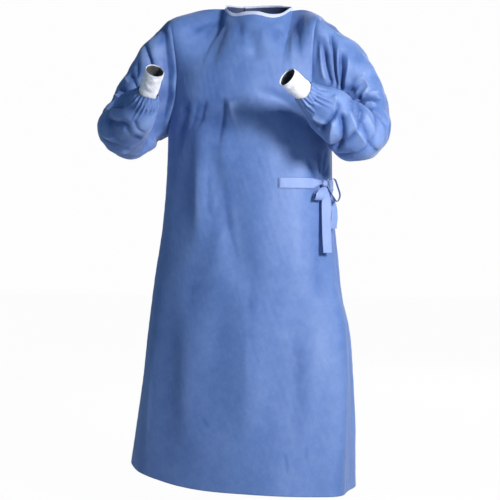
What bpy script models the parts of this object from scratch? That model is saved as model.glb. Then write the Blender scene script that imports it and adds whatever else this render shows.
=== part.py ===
"""A wrap-back gown as worn, with the arms raised in front and no wearer inside.

Metres, +Z up. The gown faces -Y, and +X is the wearer's left. The origin is the middle of the
wearer's shoulder line, where the gown is held. Each cloth piece is a thin closed wall round a
middle surface, which is worked out from the section tables below.
"""

import math
from collections import namedtuple

import bmesh
import bpy
import numpy as np

for old in list(bpy.data.objects):
    bpy.data.objects.remove(old, do_unlink=True)

# Cloth
WALL = 0.0018
SEAM_GAP = 0.0003

# Torso sections from the hem up to the underarm. Each is a rounded ring: its height, the middle
# and half width across, the side seams' depth, how far the front and the back stand out from
# the seams, and how far the whole ring is turned about its middle, in degrees.
Section = namedtuple("Section", "level z middle half side front back turn")
TORSO = [
    Section("hem", -1.144, -0.031, 0.285, 0.000, 0.188, 0.190, -15.0),
    Section("shin", -0.900, -0.016, 0.264, 0.000, 0.172, 0.178, -11.0),
    Section("knee", -0.660, -0.010, 0.236, 0.000, 0.156, 0.160, -6.0),
    Section("waist", -0.430, -0.002, 0.209, -0.004, 0.142, 0.140, -2.0),
    Section("underarm", -0.285, 0.000, 0.205, -0.004, 0.140, 0.132, 0.0),
]
# The same above the underarm, with the part of the rise to the shoulder seam that is done.
ChestSection = namedtuple("ChestSection", "rise z middle half side front back")
CHEST = [
    ChestSection(0.00, -0.285, 0.000, 0.205, -0.004, 0.140, 0.132),
    ChestSection(0.40, -0.170, 0.002, 0.204, -0.006, 0.134, 0.132),
    ChestSection(0.75, -0.060, 0.006, 0.204, -0.006, 0.100, 0.112),
    ChestSection(1.00, 0.010, 0.010, 0.204, -0.006, 0.080, 0.090),
]
ROUNDNESS = 0.92
ARMHOLE_FRONT = math.radians(36.0)
ARMHOLE_BACK = math.radians(32.0)
ARMHOLE_BEND = 0.40
MITRE_LIMIT = 0.5
HEM_LIFT_RIGHT = 0.032
HEM_DROP_LEFT = 0.013
HEM_LIFT_TOP = -0.66

# Shoulder seams and neckline
SHOULDER_RIGHT = np.array((-0.190, -0.012, 0.008))
SHOULDER_LEFT = np.array((0.184, -0.014, -0.003))
NECK_RIGHT = np.array((-0.062, -0.002, 0.029))
NECK_LEFT = np.array((0.108, -0.006, 0.017))
NECK_FRONT = np.array((0.026, -0.078, -0.006))
NECK_BACK = np.array((0.024, 0.062, 0.036))
SHOULDER_ARCH = 0.009
# How fast the cloth just under the shoulder seam and the neckline moves as it rises
SHOULDER_SWEEP = np.array((0.0, 0.400, 0.064))
NECK_SWEEP_FRONT = np.array((0.0, 0.180, 0.300))
NECK_SWEEP_BACK = np.array((0.0, -0.140, 0.340))
# The part of the rise at which the chest begins to turn in to the shoulder seam
TURN_IN_BEGINS = 0.45

# Largest folds of the torso. A fold runs between two places on the cloth, each given by how far
# round it is, 0 to 1 over the front from the right side seam to the left one and 1 to 2 over the
# back, and by its level: 0 at the hem, 1 at the underarm and 2 at the shoulder. It has a half
# width and a height in metres, with hollows below zero. Ends at the hem don't fade.
Fold = namedtuple("Fold", "name round_a level_a round_b level_b half_width height")
FOLDS = [
    Fold("front left corner", 0.950, 0.60, 0.925, 0.00, 0.055, 0.022),
    Fold("hollow to the middle", 0.405, 0.98, 0.585, 0.50, 0.028, -0.009),
    Fold("right waist ridge", 0.355, 1.10, 0.400, 0.62, 0.026, 0.008),
    Fold("middle waist ridge", 0.455, 1.02, 0.480, 0.60, 0.020, 0.006),
    Fold("lower right ridge", 0.385, 0.50, 0.450, 0.06, 0.028, 0.010),
    Fold("lower right hollow", 0.300, 0.66, 0.395, 0.00, 0.044, -0.009),
    Fold("right side ridge", 0.175, 0.66, 0.270, 0.00, 0.040, 0.007),
    Fold("lower middle ridge", 0.570, 0.60, 0.595, 0.10, 0.026, 0.008),
    Fold("lower left hollow", 0.728, 0.56, 0.722, 0.12, 0.036, -0.011),
    Fold("hollow under the arm", 0.650, 1.36, 0.900, 0.90, 0.045, -0.013),
    Fold("hollow under the neck", 0.470, 1.94, 0.590, 1.52, 0.024, -0.008),
    Fold("right shoulder hollow", 0.350, 1.92, 0.335, 1.62, 0.022, -0.007),
    Fold("left back hem ridge", 1.170, 0.60, 1.140, 0.00, 0.050, 0.018),
    Fold("left back hollow", 1.330, 0.92, 1.290, 0.00, 0.045, -0.014),
    Fold("middle back ridge", 1.440, 1.25, 1.470, 0.00, 0.050, 0.014),
    Fold("middle back hollow", 1.610, 1.10, 1.625, 0.00, 0.042, -0.014),
    Fold("right back ridge", 1.740, 1.20, 1.760, 0.00, 0.046, 0.015),
    Fold("right back hollow", 1.880, 0.80, 1.885, 0.00, 0.040, -0.010),
    Fold("right blade hollow", 1.700, 1.86, 1.640, 1.30, 0.030, -0.008),
    Fold("left blade hollow", 1.290, 1.86, 1.350, 1.30, 0.030, -0.008),
]
FOLD_FADE = 0.28
# Folds fade out near the armholes, from this level up and within this part of the front's width,
# and within this much level of the shoulder seam.
STILL_FROM = 0.75
STILL_READY = 1.0
STILL_ROUND = 0.10
STILL_AT_SHOULDER = 0.14
# Width of the front in metres, by which a fold's half width is measured
FRONT_GIRTH_UNDERARM = 0.56
FRONT_GIRTH_HEM = 0.76

# Grid of the torso panels
COLUMNS = 32
SHOULDER_COLUMNS = 8
ROWS_BELOW = 15
ROWS_BEND = 5
ROWS_ABOVE = 6
LAST_COLUMN_RIGHT_BACK = 19
FIRST_COLUMN_LEFT_BACK = 13
LAP_STEP = 0.0044
LAP_BEGINS = 0.30
LAP_READY = 0.38


def curve_through(knots, values, at):
    """Cubic curve through the values at the knots, with slopes taken from their neighbours."""
    knots = np.asarray(knots, float)
    values = np.asarray(values, float)
    slopes = np.gradient(values, knots, axis=0)
    at = np.clip(np.asarray(at, float), knots[0], knots[-1])
    left = np.clip(np.searchsorted(knots, at, side="right") - 1, 0, len(knots) - 2)
    span = knots[left + 1] - knots[left]
    t = (at - knots[left]) / span
    if values.ndim > 1:
        t = t[..., None]
        span = span[..., None]
    first = (1 + 2 * t) * (1 - t) ** 2 * values[left] + t**2 * (3 - 2 * t) * values[left + 1]
    second = t * (1 - t) ** 2 * slopes[left] + t**2 * (t - 1) * slopes[left + 1]
    return first + second * span


def between(rows, knots, at):
    """The table's row at a place between its rows, with the knots saying where each row is."""
    columns = list(zip(*rows))[1:]
    return rows[0]._make([None] + [curve_through(knots, column, at) for column in columns])


def smooth_step(x):
    x = np.clip(x, 0.0, 1.0)
    return x * x * (3 - 2 * x)


def ring_point(angle, section, out, turn):
    """Point of a section; the angle runs from the right side seam to the left one."""
    across = -section.half * np.sign(np.cos(angle)) * np.abs(np.cos(angle)) ** ROUNDNESS
    along = out * np.abs(np.sin(angle)) ** ROUNDNESS
    x = section.middle + across * np.cos(turn) - along * np.sin(turn)
    y = section.side + across * np.sin(turn) + along * np.cos(turn)
    return np.stack([x, y, section.z + 0 * x], axis=-1)


def below_underarm(angle, height, facing):
    """Torso surface from the hem, height 0, to the underarm, height 1."""
    hem = TORSO[0].z
    rise = TORSO[-1].z - hem
    section = between(TORSO, [(row.z - hem) / rise for row in TORSO], height)
    out = -section.front if facing == "front" else section.back
    point = ring_point(angle, section, out, np.radians(section.turn))
    share = np.clip((section.z - HEM_LIFT_TOP) / (hem - HEM_LIFT_TOP), 0, 1) ** 2
    side = (point[..., 0] - section.middle) / section.half
    lift = np.where(side < 0, HEM_LIFT_RIGHT, HEM_DROP_LEFT) * -side * np.abs(side)
    point[..., 2] += share * lift
    return point


def top_edge(s, facing):
    """Shoulder seam, neckline, shoulder seam. s runs from the right armhole to the left one."""
    part = SHOULDER_COLUMNS / COLUMNS
    to_neck = np.clip(s / part, 0, 1)[..., None]
    to_arm = np.clip((s - 1 + part) / part, 0, 1)[..., None]
    turn = np.pi * np.clip((s - part) / (1 - 2 * part), 0, 1)[..., None]
    middle = NECK_FRONT if facing == "front" else NECK_BACK
    centre = (NECK_RIGHT + NECK_LEFT) / 2
    round_neck = centre - (NECK_LEFT - NECK_RIGHT) / 2 * np.cos(turn) + (middle - centre) * np.sin(turn)
    right = SHOULDER_RIGHT * (1 - to_neck) + NECK_RIGHT * to_neck
    left = NECK_LEFT * (1 - to_arm) + SHOULDER_LEFT * to_arm
    arch = np.array((0, 0, SHOULDER_ARCH))
    right = right + arch * np.sin(np.pi * to_neck)
    left = left + arch * np.sin(np.pi * to_arm)
    on_right = (s < part)[..., None]
    on_left = (s > 1 - part)[..., None]
    return np.where(on_right, right, np.where(on_left, left, round_neck))


def above_underarm(s, rise, facing):
    """Torso surface from the underarm, rise 0, to the shoulder seam and neckline, rise 1."""
    cut = ARMHOLE_FRONT if facing == "front" else ARMHOLE_BACK
    bend = np.clip(rise / ARMHOLE_BEND, 0, 1)
    edge = cut * np.sqrt(1 - (1 - bend) ** 2)
    angle = edge + (np.pi - 2 * edge) * s
    section = between(CHEST, [row.rise for row in CHEST], rise)
    out = -section.front if facing == "front" else section.back
    body = ring_point(angle, section, out, 0.0)
    part = SHOULDER_COLUMNS / COLUMNS
    from_neck = np.clip(np.abs(s - 0.5) - (0.5 - part), 0, part) / part
    near_neck = (1 - smooth_step(from_neck))[..., None]
    sweep = SHOULDER_SWEEP * np.array((1, 1 if facing == "front" else -1, 1))
    neck_sweep = NECK_SWEEP_FRONT if facing == "front" else NECK_SWEEP_BACK
    sweep = sweep * (1 - near_neck) + neck_sweep * near_neck
    top = top_edge(s, facing) + (rise - 1)[..., None] * sweep
    share = smooth_step((rise - TURN_IN_BEGINS) / (1 - TURN_IN_BEGINS))[..., None]
    return body * (1 - share) + top * share


def torso(s, level, facing):
    """Torso surface: level 0 is the hem, 1 the underarm and 2 the shoulder seam."""
    s = np.asarray(s, float)
    level = np.asarray(level, float)
    below = below_underarm(np.pi * s, np.clip(level, 0, 1), facing)
    above = above_underarm(s, np.clip(level - 1, 0, 1), facing)
    return np.where((level <= 1)[..., None], below, above)


def torso_levels():
    """Levels of a panel's rows, closer together where the armhole bends under the arm."""
    below = np.linspace(0, 1, ROWS_BELOW + 1)[:-1]
    bend = 1 + ARMHOLE_BEND * (1 - np.cos(np.pi / 2 * np.arange(ROWS_BEND) / ROWS_BEND))
    above = 1 + np.linspace(ARMHOLE_BEND, 1, ROWS_ABOVE + 1)
    return np.concatenate([below, bend, above])


def fold_height(round_at, level):
    """How far the folds move the torso cloth outwards."""
    girth = FRONT_GIRTH_HEM + (FRONT_GIRTH_UNDERARM - FRONT_GIRTH_HEM) * np.clip(level, 0, 1)
    total = np.zeros_like(round_at)
    for fold in FOLDS:
        part = (fold.level_a - level) / (fold.level_a - fold.level_b)
        line = fold.round_a + (fold.round_b - fold.round_a) * part
        away = (round_at - line + 1) % 2 - 1
        ends = smooth_step(part / FOLD_FADE) if fold.level_a > 0 else 1.0
        if fold.level_b > 0:
            ends = ends * smooth_step((1 - part) / FOLD_FADE)
        total += fold.height * ends * np.exp(-((away * girth / fold.half_width) ** 2))
    from_seam = np.minimum(np.abs(round_at % 1), 1 - np.abs(round_at % 1))
    at_armhole = smooth_step((level - STILL_FROM) / (STILL_READY - STILL_FROM))
    at_shoulder = smooth_step((2 - level) / STILL_AT_SHOULDER)
    return total * (1 - at_armhole * (1 - smooth_step(from_seam / STILL_ROUND))) * at_shoulder


def normals_of(grid, wrap=False):
    """Unit normals of a grid of points; the second index may run round a ring."""
    down = np.gradient(grid, axis=0)
    if wrap:
        across = np.roll(grid, -1, axis=1) - np.roll(grid, 1, axis=1)
    else:
        across = np.gradient(grid, axis=1)
    return unit(np.cross(across, down))


def unit(vector):
    return vector / np.maximum(np.linalg.norm(vector, axis=-1, keepdims=True), 1e-12)


def plain_normals(front, back, rows_below):
    """Outward normals of the torso before its folds, shared along the side seams."""
    front_out = normals_of(front)
    back_out = -normals_of(back)
    for column in (0, -1):
        shared = unit(front_out[:rows_below, column] + back_out[:rows_below, column])
        front_out[:rows_below, column] = shared
        back_out[:rows_below, column] = shared
    return front_out, back_out


def torso_grids():
    """Middle surfaces of the front and of the whole back, with their folds."""
    levels = torso_levels()
    s = np.arange(COLUMNS + 1) / COLUMNS
    level, across = np.meshgrid(levels, s, indexing="ij")
    front = torso(across, level, "front")
    back = torso(across, level, "back")
    front_out, back_out = plain_normals(front, back, ROWS_BELOW + 1)
    front = front + front_out * fold_height(across, level)[..., None]
    back = back + back_out * fold_height(2 - across, level)[..., None]
    return front, back


def mitred(own, other):
    """Offset direction at a seam, the same line for both of the pieces that meet there."""
    shared = unit(own + other)
    return shared / np.maximum((shared * own).sum(-1, keepdims=True), MITRE_LIMIT)


def pull_back(edge, inward, normals, offsets):
    """Moves an edge into its own piece by half of the seam's gap."""
    along = unit(np.gradient(edge, axis=0))
    across = inward - normals * (inward * normals).sum(-1, keepdims=True)
    across = unit(across - along * (across * along).sum(-1, keepdims=True))
    return edge + across * SEAM_GAP / 2 * np.linalg.norm(offsets, axis=-1, keepdims=True)


def material_of(name, colour, roughness):
    material = bpy.data.materials.new(name)
    material.use_nodes = True
    shader = material.node_tree.nodes["Principled BSDF"]
    shader.inputs["Base Color"].default_value = (*colour, 1.0)
    shader.inputs["Roughness"].default_value = roughness
    shader.inputs["Metallic"].default_value = 0.0
    return material


def wall_object(name, grid, offset, material, wrap=False):
    """Closed wall round a grid of middle points; offset goes from the middle to the outside."""
    rows, columns = grid.shape[:2]
    mesh = bmesh.new()
    outside = [[mesh.verts.new(point) for point in row] for row in grid + offset]
    inside = [[mesh.verts.new(point) for point in row] for row in grid - offset]
    steps = columns if wrap else columns - 1
    for i in range(rows - 1):
        for j in range(steps):
            k = (j + 1) % columns
            mesh.faces.new((outside[i][j], outside[i][k], outside[i + 1][k], outside[i + 1][j]))
            mesh.faces.new((inside[i][j], inside[i + 1][j], inside[i + 1][k], inside[i][k]))
    for j in range(steps):
        k = (j + 1) % columns
        mesh.faces.new((outside[0][j], inside[0][j], inside[0][k], outside[0][k]))
        mesh.faces.new((outside[-1][k], inside[-1][k], inside[-1][j], outside[-1][j]))
    if not wrap:
        for i in range(rows - 1):
            mesh.faces.new((outside[i][0], outside[i + 1][0], inside[i + 1][0], inside[i][0]))
            mesh.faces.new((outside[i + 1][-1], outside[i][-1], inside[i][-1], inside[i + 1][-1]))
    bmesh.ops.triangulate(mesh, faces=mesh.faces[:])
    bmesh.ops.recalc_face_normals(mesh, faces=mesh.faces[:])
    data = bpy.data.meshes.new(name)
    mesh.to_mesh(data)
    mesh.free()
    data.shade_smooth()
    data.materials.append(material)
    piece = bpy.data.objects.new(name, data)
    bpy.context.scene.collection.objects.link(piece)
    return piece


# Sleeves. Each ring of the table has its middle, its half width sideways, and how far it reaches
# from the middle towards the inside and the outside of the elbow. The first ring is the armhole.
Ring = namedtuple("Ring", "name x y z sideways inside outside")
SLEEVE_RIGHT = [
    Ring("armhole", -0.190, -0.005, -0.140, 0.140, 0.080, 0.080),
    Ring("upper", -0.241, -0.018, -0.177, 0.124, 0.082, 0.082),
    Ring("middle", -0.277, -0.045, -0.234, 0.095, 0.070, 0.074),
    Ring("above elbow", -0.297, -0.090, -0.277, 0.074, 0.052, 0.060),
    Ring("elbow", -0.288, -0.140, -0.290, 0.064, 0.044, 0.050),
    Ring("below elbow", -0.259, -0.190, -0.276, 0.056, 0.042, 0.050),
    Ring("forearm", -0.222, -0.240, -0.250, 0.050, 0.044, 0.046),
    Ring("wrist", -0.186, -0.280, -0.226, 0.030, 0.030, 0.030),
]
SLEEVE_LEFT = [
    Ring("armhole", 0.185, -0.008, -0.145, 0.140, 0.080, 0.080),
    Ring("upper", 0.240, -0.020, -0.180, 0.121, 0.082, 0.084),
    Ring("middle", 0.270, -0.044, -0.242, 0.100, 0.068, 0.078),
    Ring("above elbow", 0.284, -0.086, -0.284, 0.077, 0.048, 0.074),
    Ring("elbow", 0.272, -0.132, -0.296, 0.066, 0.040, 0.070),
    Ring("below elbow", 0.250, -0.172, -0.276, 0.060, 0.040, 0.064),
    Ring("forearm", 0.220, -0.202, -0.247, 0.052, 0.045, 0.050),
    Ring("wrist", 0.188, -0.236, -0.226, 0.030, 0.030, 0.030),
]
# Creases round a sleeve: how far along it, the angle of its middle and its half length in degrees,
# with 0 on the outer side and 90 on the inside of the elbow, its half width along and its height.
Crease = namedtuple("Crease", "name along angle half_length half_width height")
CREASES_RIGHT = [
    Crease("upper arm hollow", 0.22, 60, 55, 0.030, -0.009),
    Crease("above the elbow", 0.40, 75, 60, 0.026, 0.007),
    Crease("inside the elbow", 0.53, 90, 70, 0.024, -0.008),
    Crease("below the elbow", 0.66, 80, 60, 0.026, 0.006),
    Crease("elbow tip", 0.56, 250, 50, 0.030, 0.005),
]
CREASES_LEFT = [
    Crease("upper arm hollow", 0.20, 50, 55, 0.030, -0.008),
    Crease("above the elbow", 0.34, 60, 50, 0.028, 0.006),
    Crease("inside the elbow", 0.50, 90, 75, 0.026, -0.006),
    Crease("below the elbow", 0.66, 110, 60, 0.026, 0.006),
    Crease("elbow tip", 0.54, 260, 50, 0.030, 0.006),
]
RINGS_SLEEVE = 25
# Parts of the sleeve's length by which it leaves the armhole's outline, turns its rings square to
# its path, spaces its points evenly round, and lets its creases reach their height.
ARMHOLE_FADE = 0.30
SLEEVE_TILT = 0.66
ANGLES_EVEN = 0.50
CREASES_BEGIN = 0.12
# Gathers at the wrist: where they begin, over what part they rise, and over what part they and
# the creases fade out at the cuff's seam.
GATHERS_BEGIN = 0.84
GATHERS_RISE = 0.06
GATHERS_FALL = 0.05
CREASES_FALL = 0.10
GATHER_HEIGHT = 0.0022
CUFF_RIGHT_END = np.array((-0.154, -0.329, -0.177))
CUFF_LEFT_END = np.array((0.146, -0.286, -0.187))
CUFF_RIGHT_RADIUS = 0.0200
CUFF_LEFT_RADIUS = 0.0235
# The part of the cuff by which it is round
CUFF_ROUND = 0.83
RINGS_CUFF = 5


def frames_along(centres, first_normal):
    """Ring frames carried along a path without twisting: normal, outer side, inside of elbow."""
    part = np.linspace(0, 1, len(centres))[:, None]
    tilt = smooth_step(part / SLEEVE_TILT)
    ahead = unit(np.gradient(centres, axis=0))
    normals = unit(ahead * tilt + first_normal * (1 - tilt))
    outer = np.array((0.0, 0.0, 1.0))
    inner = np.array((0.0, -1.0, 0.0))
    frames = []
    previous = normals[0]
    for normal in normals:
        axis = np.cross(previous, normal)
        turn = math.atan2(float(np.linalg.norm(axis)), float(previous @ normal))
        if turn > 1e-9:
            axis = unit(axis)
            outer = (
                outer * math.cos(turn)
                + np.cross(axis, outer) * math.sin(turn)
                + axis * float(axis @ outer) * (1 - math.cos(turn))
            )
        outer = unit(outer - normal * float(outer @ normal))
        across = np.cross(normal, outer)
        inner = across * np.sign(float(across @ inner))
        frames.append((normal, outer, inner))
        previous = normal
    return frames


def crease_height(creases, along, angle, length):
    """How far the creases move a ring of the sleeve outwards."""
    total = np.zeros_like(angle)
    for crease in creases:
        away = (np.degrees(angle) - crease.angle + 180) % 360 - 180
        round_it = np.exp(-((away / crease.half_length) ** 2))
        from_it = (along - crease.along) * length / crease.half_width
        total += crease.height * round_it * math.exp(-(from_it**2))
    return total


def sleeve_rings(table, creases, loop, side):
    """Middle surface of a sleeve from its armhole loop to the wrist; side is -1 right, +1 left."""
    middles = np.array([(row.x, row.y, row.z) for row in table])
    reaches = np.array([(row.sideways, row.inside, row.outside) for row in table])
    steps = np.linalg.norm(np.diff(middles, axis=0), axis=1)
    knots = np.concatenate([[0], np.cumsum(steps)]) / steps.sum()
    along = np.linspace(0, 1, RINGS_SLEEVE)
    centres = curve_through(knots, middles, along)
    sizes = curve_through(knots, reaches, along)
    frames = frames_along(centres, np.array((side, 0.0, 0.0)))
    normal, outer, inner = frames[0]
    local = loop - centres[0]
    flat = np.stack([local @ outer, local @ inner, local @ normal], axis=-1)
    first = np.unwrap(np.arctan2(flat[:, 1] / sizes[0][1], flat[:, 0] / sizes[0][0]))
    way = np.sign(first[-1] - first[0])
    even = first[0] + way * 2 * np.pi * np.arange(len(loop)) / len(loop)
    rings = []
    for k, (normal, outer, inner) in enumerate(frames):
        even_share = smooth_step(along[k] / ANGLES_EVEN)
        angle = first * (1 - even_share) + even * even_share
        loop_share = 1 - smooth_step(along[k] / ARMHOLE_FADE)
        reach = np.where(np.sin(angle) > 0, sizes[k][1], sizes[k][2])
        grown = sizes[k] / sizes[0]
        a = sizes[k][0] * np.cos(angle) * (1 - loop_share) + flat[:, 0] * grown[0] * loop_share
        b = reach * np.sin(angle) * (1 - loop_share) + flat[:, 1] * grown[1] * loop_share
        c = flat[:, 2] * loop_share
        rise = crease_height(creases, along[k], angle, steps.sum())
        rise = rise * smooth_step(along[k] / CREASES_BEGIN) * smooth_step((1 - along[k]) / CREASES_FALL)
        gather = smooth_step((along[k] - GATHERS_BEGIN) / GATHERS_RISE)
        gather = gather * smooth_step((1 - along[k]) / GATHERS_FALL)
        rise = rise + GATHER_HEIGHT * gather * (-1.0) ** np.arange(len(loop))
        swell = 1 + rise / np.hypot(a, b)
        point = centres[k] + (a * swell)[:, None] * outer + (b * swell)[:, None] * inner
        rings.append(point + c[:, None] * normal)
    return np.array(rings)


def cuff_rings(wrist_ring, cuff_end, end_radius):
    """Middle surface of a knitted cuff from the sleeve's last ring to its open end."""
    wrist = wrist_ring.mean(axis=0)
    axis = unit(cuff_end - wrist)
    around = wrist_ring - wrist
    flat = unit(around - (around @ axis)[:, None] * axis) * end_radius
    rings = []
    for part in np.linspace(0, 1, RINGS_CUFF + 1):
        share = smooth_step(part / CUFF_ROUND)
        rings.append(wrist + (cuff_end - wrist) * part + around * (1 - share) + flat * share)
    return np.array(rings)


def armhole(front_part, back_part, column):
    """Values round an armhole: from under the arm up the front, then down the back."""
    front_part = front_part[ROWS_BELOW:, column]
    back_part = back_part[ROWS_BELOW:, column]
    return np.concatenate([front_part, back_part[::-1][1:-1]])


CLOTH = material_of("blue_nonwoven", (0.16, 0.27, 0.58), 0.80)
KNIT = material_of("white_knit", (0.90, 0.89, 0.90), 0.90)
BINDING = material_of("pale_binding", (0.55, 0.62, 0.86), 0.75)
TIE = material_of("pale_tie", (0.30, 0.42, 0.74), 0.75)

# Middle surfaces and their outward directions, before the seams are fitted
front_grid, back_grid = torso_grids()
front_out = normals_of(front_grid)
back_out = -normals_of(back_grid)
right_rings = sleeve_rings(SLEEVE_RIGHT, CREASES_RIGHT, armhole(front_grid, back_grid, 0), -1)
left_rings = sleeve_rings(SLEEVE_LEFT, CREASES_LEFT, armhole(front_grid, back_grid, -1), 1)
right_out = normals_of(right_rings, True)
left_out = -normals_of(left_rings, True)
right_cuff = cuff_rings(right_rings[-1], CUFF_RIGHT_END, CUFF_RIGHT_RADIUS)
left_cuff = cuff_rings(left_rings[-1], CUFF_LEFT_END, CUFF_LEFT_RADIUS)
right_cuff_out = normals_of(right_cuff, True)
left_cuff_out = -normals_of(left_cuff, True)


def fit_panel(grid, out, other_out, sleeves_out, is_front):
    """A torso panel's points and offsets with its side, armhole and shoulder seams fitted."""
    offsets = out.copy()
    fitted = grid.copy()
    tip = len(grid) - 1 - ROWS_BELOW
    for column, step, sleeve_out in ((0, 1, sleeves_out[0]), (-1, -1, sleeves_out[1])):
        below = mitred(out[:ROWS_BELOW, column], other_out[:ROWS_BELOW, column])
        ring = sleeve_out[0]
        ring = ring[: tip + 1] if is_front else np.concatenate([ring[:1], ring[tip:][::-1]])
        above = mitred(out[ROWS_BELOW:, column], ring)
        for row, at in ((ROWS_BELOW, 0), (len(grid) - 1, tip)):
            own = out[row, column]
            shared = unit(own + other_out[row, column] + ring[at])
            above[at] = shared / max(float(shared @ own), MITRE_LIMIT)
        offsets[:, column] = np.concatenate([below, above])
        inward = grid[:, column + step] - grid[:, column]
        fitted[:, column] = pull_back(grid[:, column], inward, out[:, column], offsets[:, column])
    for columns in (slice(1, SHOULDER_COLUMNS + 1), slice(-SHOULDER_COLUMNS - 1, -1)):
        offsets[-1, columns] = mitred(out[-1, columns], other_out[-1, columns])
    inward = grid[-2] - grid[-1]
    fitted[-1] += pull_back(grid[-1], inward, out[-1], offsets[-1]) - grid[-1]
    return fitted, offsets


def fit_sleeve(rings, out, column, cuff_out):
    """A sleeve's points and offsets with its armhole and cuff seams fitted."""
    offsets = out.copy()
    fitted = rings.copy()
    panels = armhole(front_out, back_out, column)
    other = armhole(back_out, front_out, column)
    offsets[0] = mitred(out[0], panels)
    for at in (0, len(front_grid) - 1 - ROWS_BELOW):
        shared = unit(panels[at] + out[0][at] + other[at])
        offsets[0][at] = shared / max(float(shared @ out[0][at]), MITRE_LIMIT)
    offsets[-1] = mitred(out[-1], cuff_out[0])
    fitted[0] = pull_back(rings[0], rings[1] - rings[0], out[0], offsets[0])
    fitted[-1] = pull_back(rings[-1], rings[-2] - rings[-1], out[-1], offsets[-1])
    return fitted, offsets


def fit_cuff(rings, out, sleeve_out):
    offsets = out.copy()
    fitted = rings.copy()
    offsets[0] = mitred(out[0], sleeve_out[-1])
    fitted[0] = pull_back(rings[0], rings[1] - rings[0], out[0], offsets[0])
    return fitted, offsets


def lapped(grid, out):
    """The right back panel, which rises clear of the left one where it laps over it."""
    s = np.arange(COLUMNS + 1) / COLUMNS
    rise = LAP_STEP * smooth_step((s - LAP_BEGINS) / (LAP_READY - LAP_BEGINS))
    return grid + out * rise[None, :, None]


# Front and backs
sleeves_out = (right_out, left_out)
front_fit, front_offsets = fit_panel(front_grid, front_out, back_out, sleeves_out, True)
back_fit, back_offsets = fit_panel(back_grid, back_out, front_out, sleeves_out, False)
right_back_fit = lapped(back_fit, back_out)[:, : LAST_COLUMN_RIGHT_BACK + 1]
left_back_fit = back_fit[:, FIRST_COLUMN_LEFT_BACK:]
wall_object("front", front_fit, front_offsets * WALL / 2, CLOTH)
wall_object(
    "back_right", right_back_fit, back_offsets[:, : LAST_COLUMN_RIGHT_BACK + 1] * WALL / 2, CLOTH
)
wall_object("back_left", left_back_fit, back_offsets[:, FIRST_COLUMN_LEFT_BACK:] * WALL / 2, CLOTH)

# Sleeves and cuffs
for name, rings, out, column, cuff, cuff_out in (
    ("right", right_rings, right_out, 0, right_cuff, right_cuff_out),
    ("left", left_rings, left_out, -1, left_cuff, left_cuff_out),
):
    points, offsets = fit_sleeve(rings, out, column, cuff_out)
    wall_object("sleeve_" + name, points, offsets * WALL / 2, CLOTH, True)
    points, offsets = fit_cuff(cuff, cuff_out, out)
    wall_object("cuff_" + name, points, offsets * WALL / 2, KNIT, True)

# Neck binding: one strip from the left back's free edge, round the front, to the right back's.
BINDING_HEIGHT = 0.010
BINDING_WALL = 0.0022
BINDING_ROWS = 2


def neckline(front_part, back_part, right_back_part):
    """Values along the neckline, in the order of the binding, averaged at the shoulder seams."""
    left = back_part[FIRST_COLUMN_LEFT_BACK : COLUMNS - SHOULDER_COLUMNS + 1]
    front = front_part[SHOULDER_COLUMNS : COLUMNS - SHOULDER_COLUMNS + 1][::-1]
    right = right_back_part[SHOULDER_COLUMNS : LAST_COLUMN_RIGHT_BACK + 1]
    at_left = (left[-1] + front[0]) / 2
    at_right = (front[-1] + right[0]) / 2
    return np.concatenate([left[:-1], at_left[None], front[1:-1], at_right[None], right[1:]])


def binding():
    raised = lapped(back_grid, back_out)
    edge = neckline(front_grid[-1], back_grid[-1], raised[-1])
    rising = neckline(
        unit(front_grid[-1] - front_grid[-2]),
        unit(back_grid[-1] - back_grid[-2]),
        unit(back_grid[-1] - back_grid[-2]),
    )
    out = unit(neckline(front_out[-1], back_out[-1], back_out[-1]))
    rising = unit(rising - out * (rising * out).sum(-1, keepdims=True))
    rows = []
    for part in np.linspace(0, 1, BINDING_ROWS + 1):
        rows.append(edge + rising * (SEAM_GAP / 2 + BINDING_HEIGHT * part))
    wall_object("neck_binding", np.array(rows), out[None] * BINDING_WALL / 2, BINDING)


binding()

# Waist tie. The front strap is stitched to the front, and the back strap to the right back's free
# edge; they meet in a bow on the front panel near the wearer's left side seam.
TIE_WIDTH = 0.025
TIE_WALL = 0.0012
TIE_CLEAR = 0.0006
TIE_LEVEL = 0.848
KNOT_COLUMN = 28
FRONT_STRAP_BEGINS = 20.9
FRONT_STRAP_LEAVES = 26
BACK_STRAP_BEGINS = 18
BACK_STRAP_LEAVES = 30
KNOT_OUT = 0.0095
KNOT_ACROSS = 0.009
KNOT_DEEP = 0.007
KNOT_HIGH = 0.009
KNOT_TURNS = 12
KNOT_BANDS = 8
STRAP_END_ACROSS = 0.0087
STRAP_END_UP = 0.003
STRAP_END_IN = 0.002
STRAP_END_WIDTH = 0.009


def on_grid(grid, row, column):
    """Point between the points of a grid, at a row and column that may be fractions."""
    i = min(int(row), grid.shape[0] - 2)
    j = min(int(column), grid.shape[1] - 2)
    up = row - i
    along = column - j
    low = grid[i, j] * (1 - along) + grid[i, j + 1] * along
    high = grid[i + 1, j] * (1 - along) + grid[i + 1, j + 1] * along
    return low * (1 - up) + high * up


def strap_row(grid, out, column, lift):
    """Lower, middle and upper points of a strap that lies on a panel."""
    row = TIE_LEVEL * ROWS_BELOW
    rise = (grid[int(row) + 1, int(column)] - grid[int(row), int(column)])[2]
    half = TIE_WIDTH / 2 / rise
    points = [on_grid(grid, row + part * half, column) for part in (-1, 0, 1)]
    directions = [unit(on_grid(out, row + part * half, column)) for part in (-1, 0, 1)]
    return [point + direction * lift for point, direction in zip(points, directions)]


def strap_end(knot, across, out, side):
    """Where a strap, drawn together, enters the knot."""
    middle = knot + across * STRAP_END_ACROSS * side - out * STRAP_END_IN
    middle = middle + np.array((0, 0, STRAP_END_UP))
    return [middle + np.array((0, 0, STRAP_END_WIDTH / 2 * part)) for part in (-1, 0, 1)]


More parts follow.
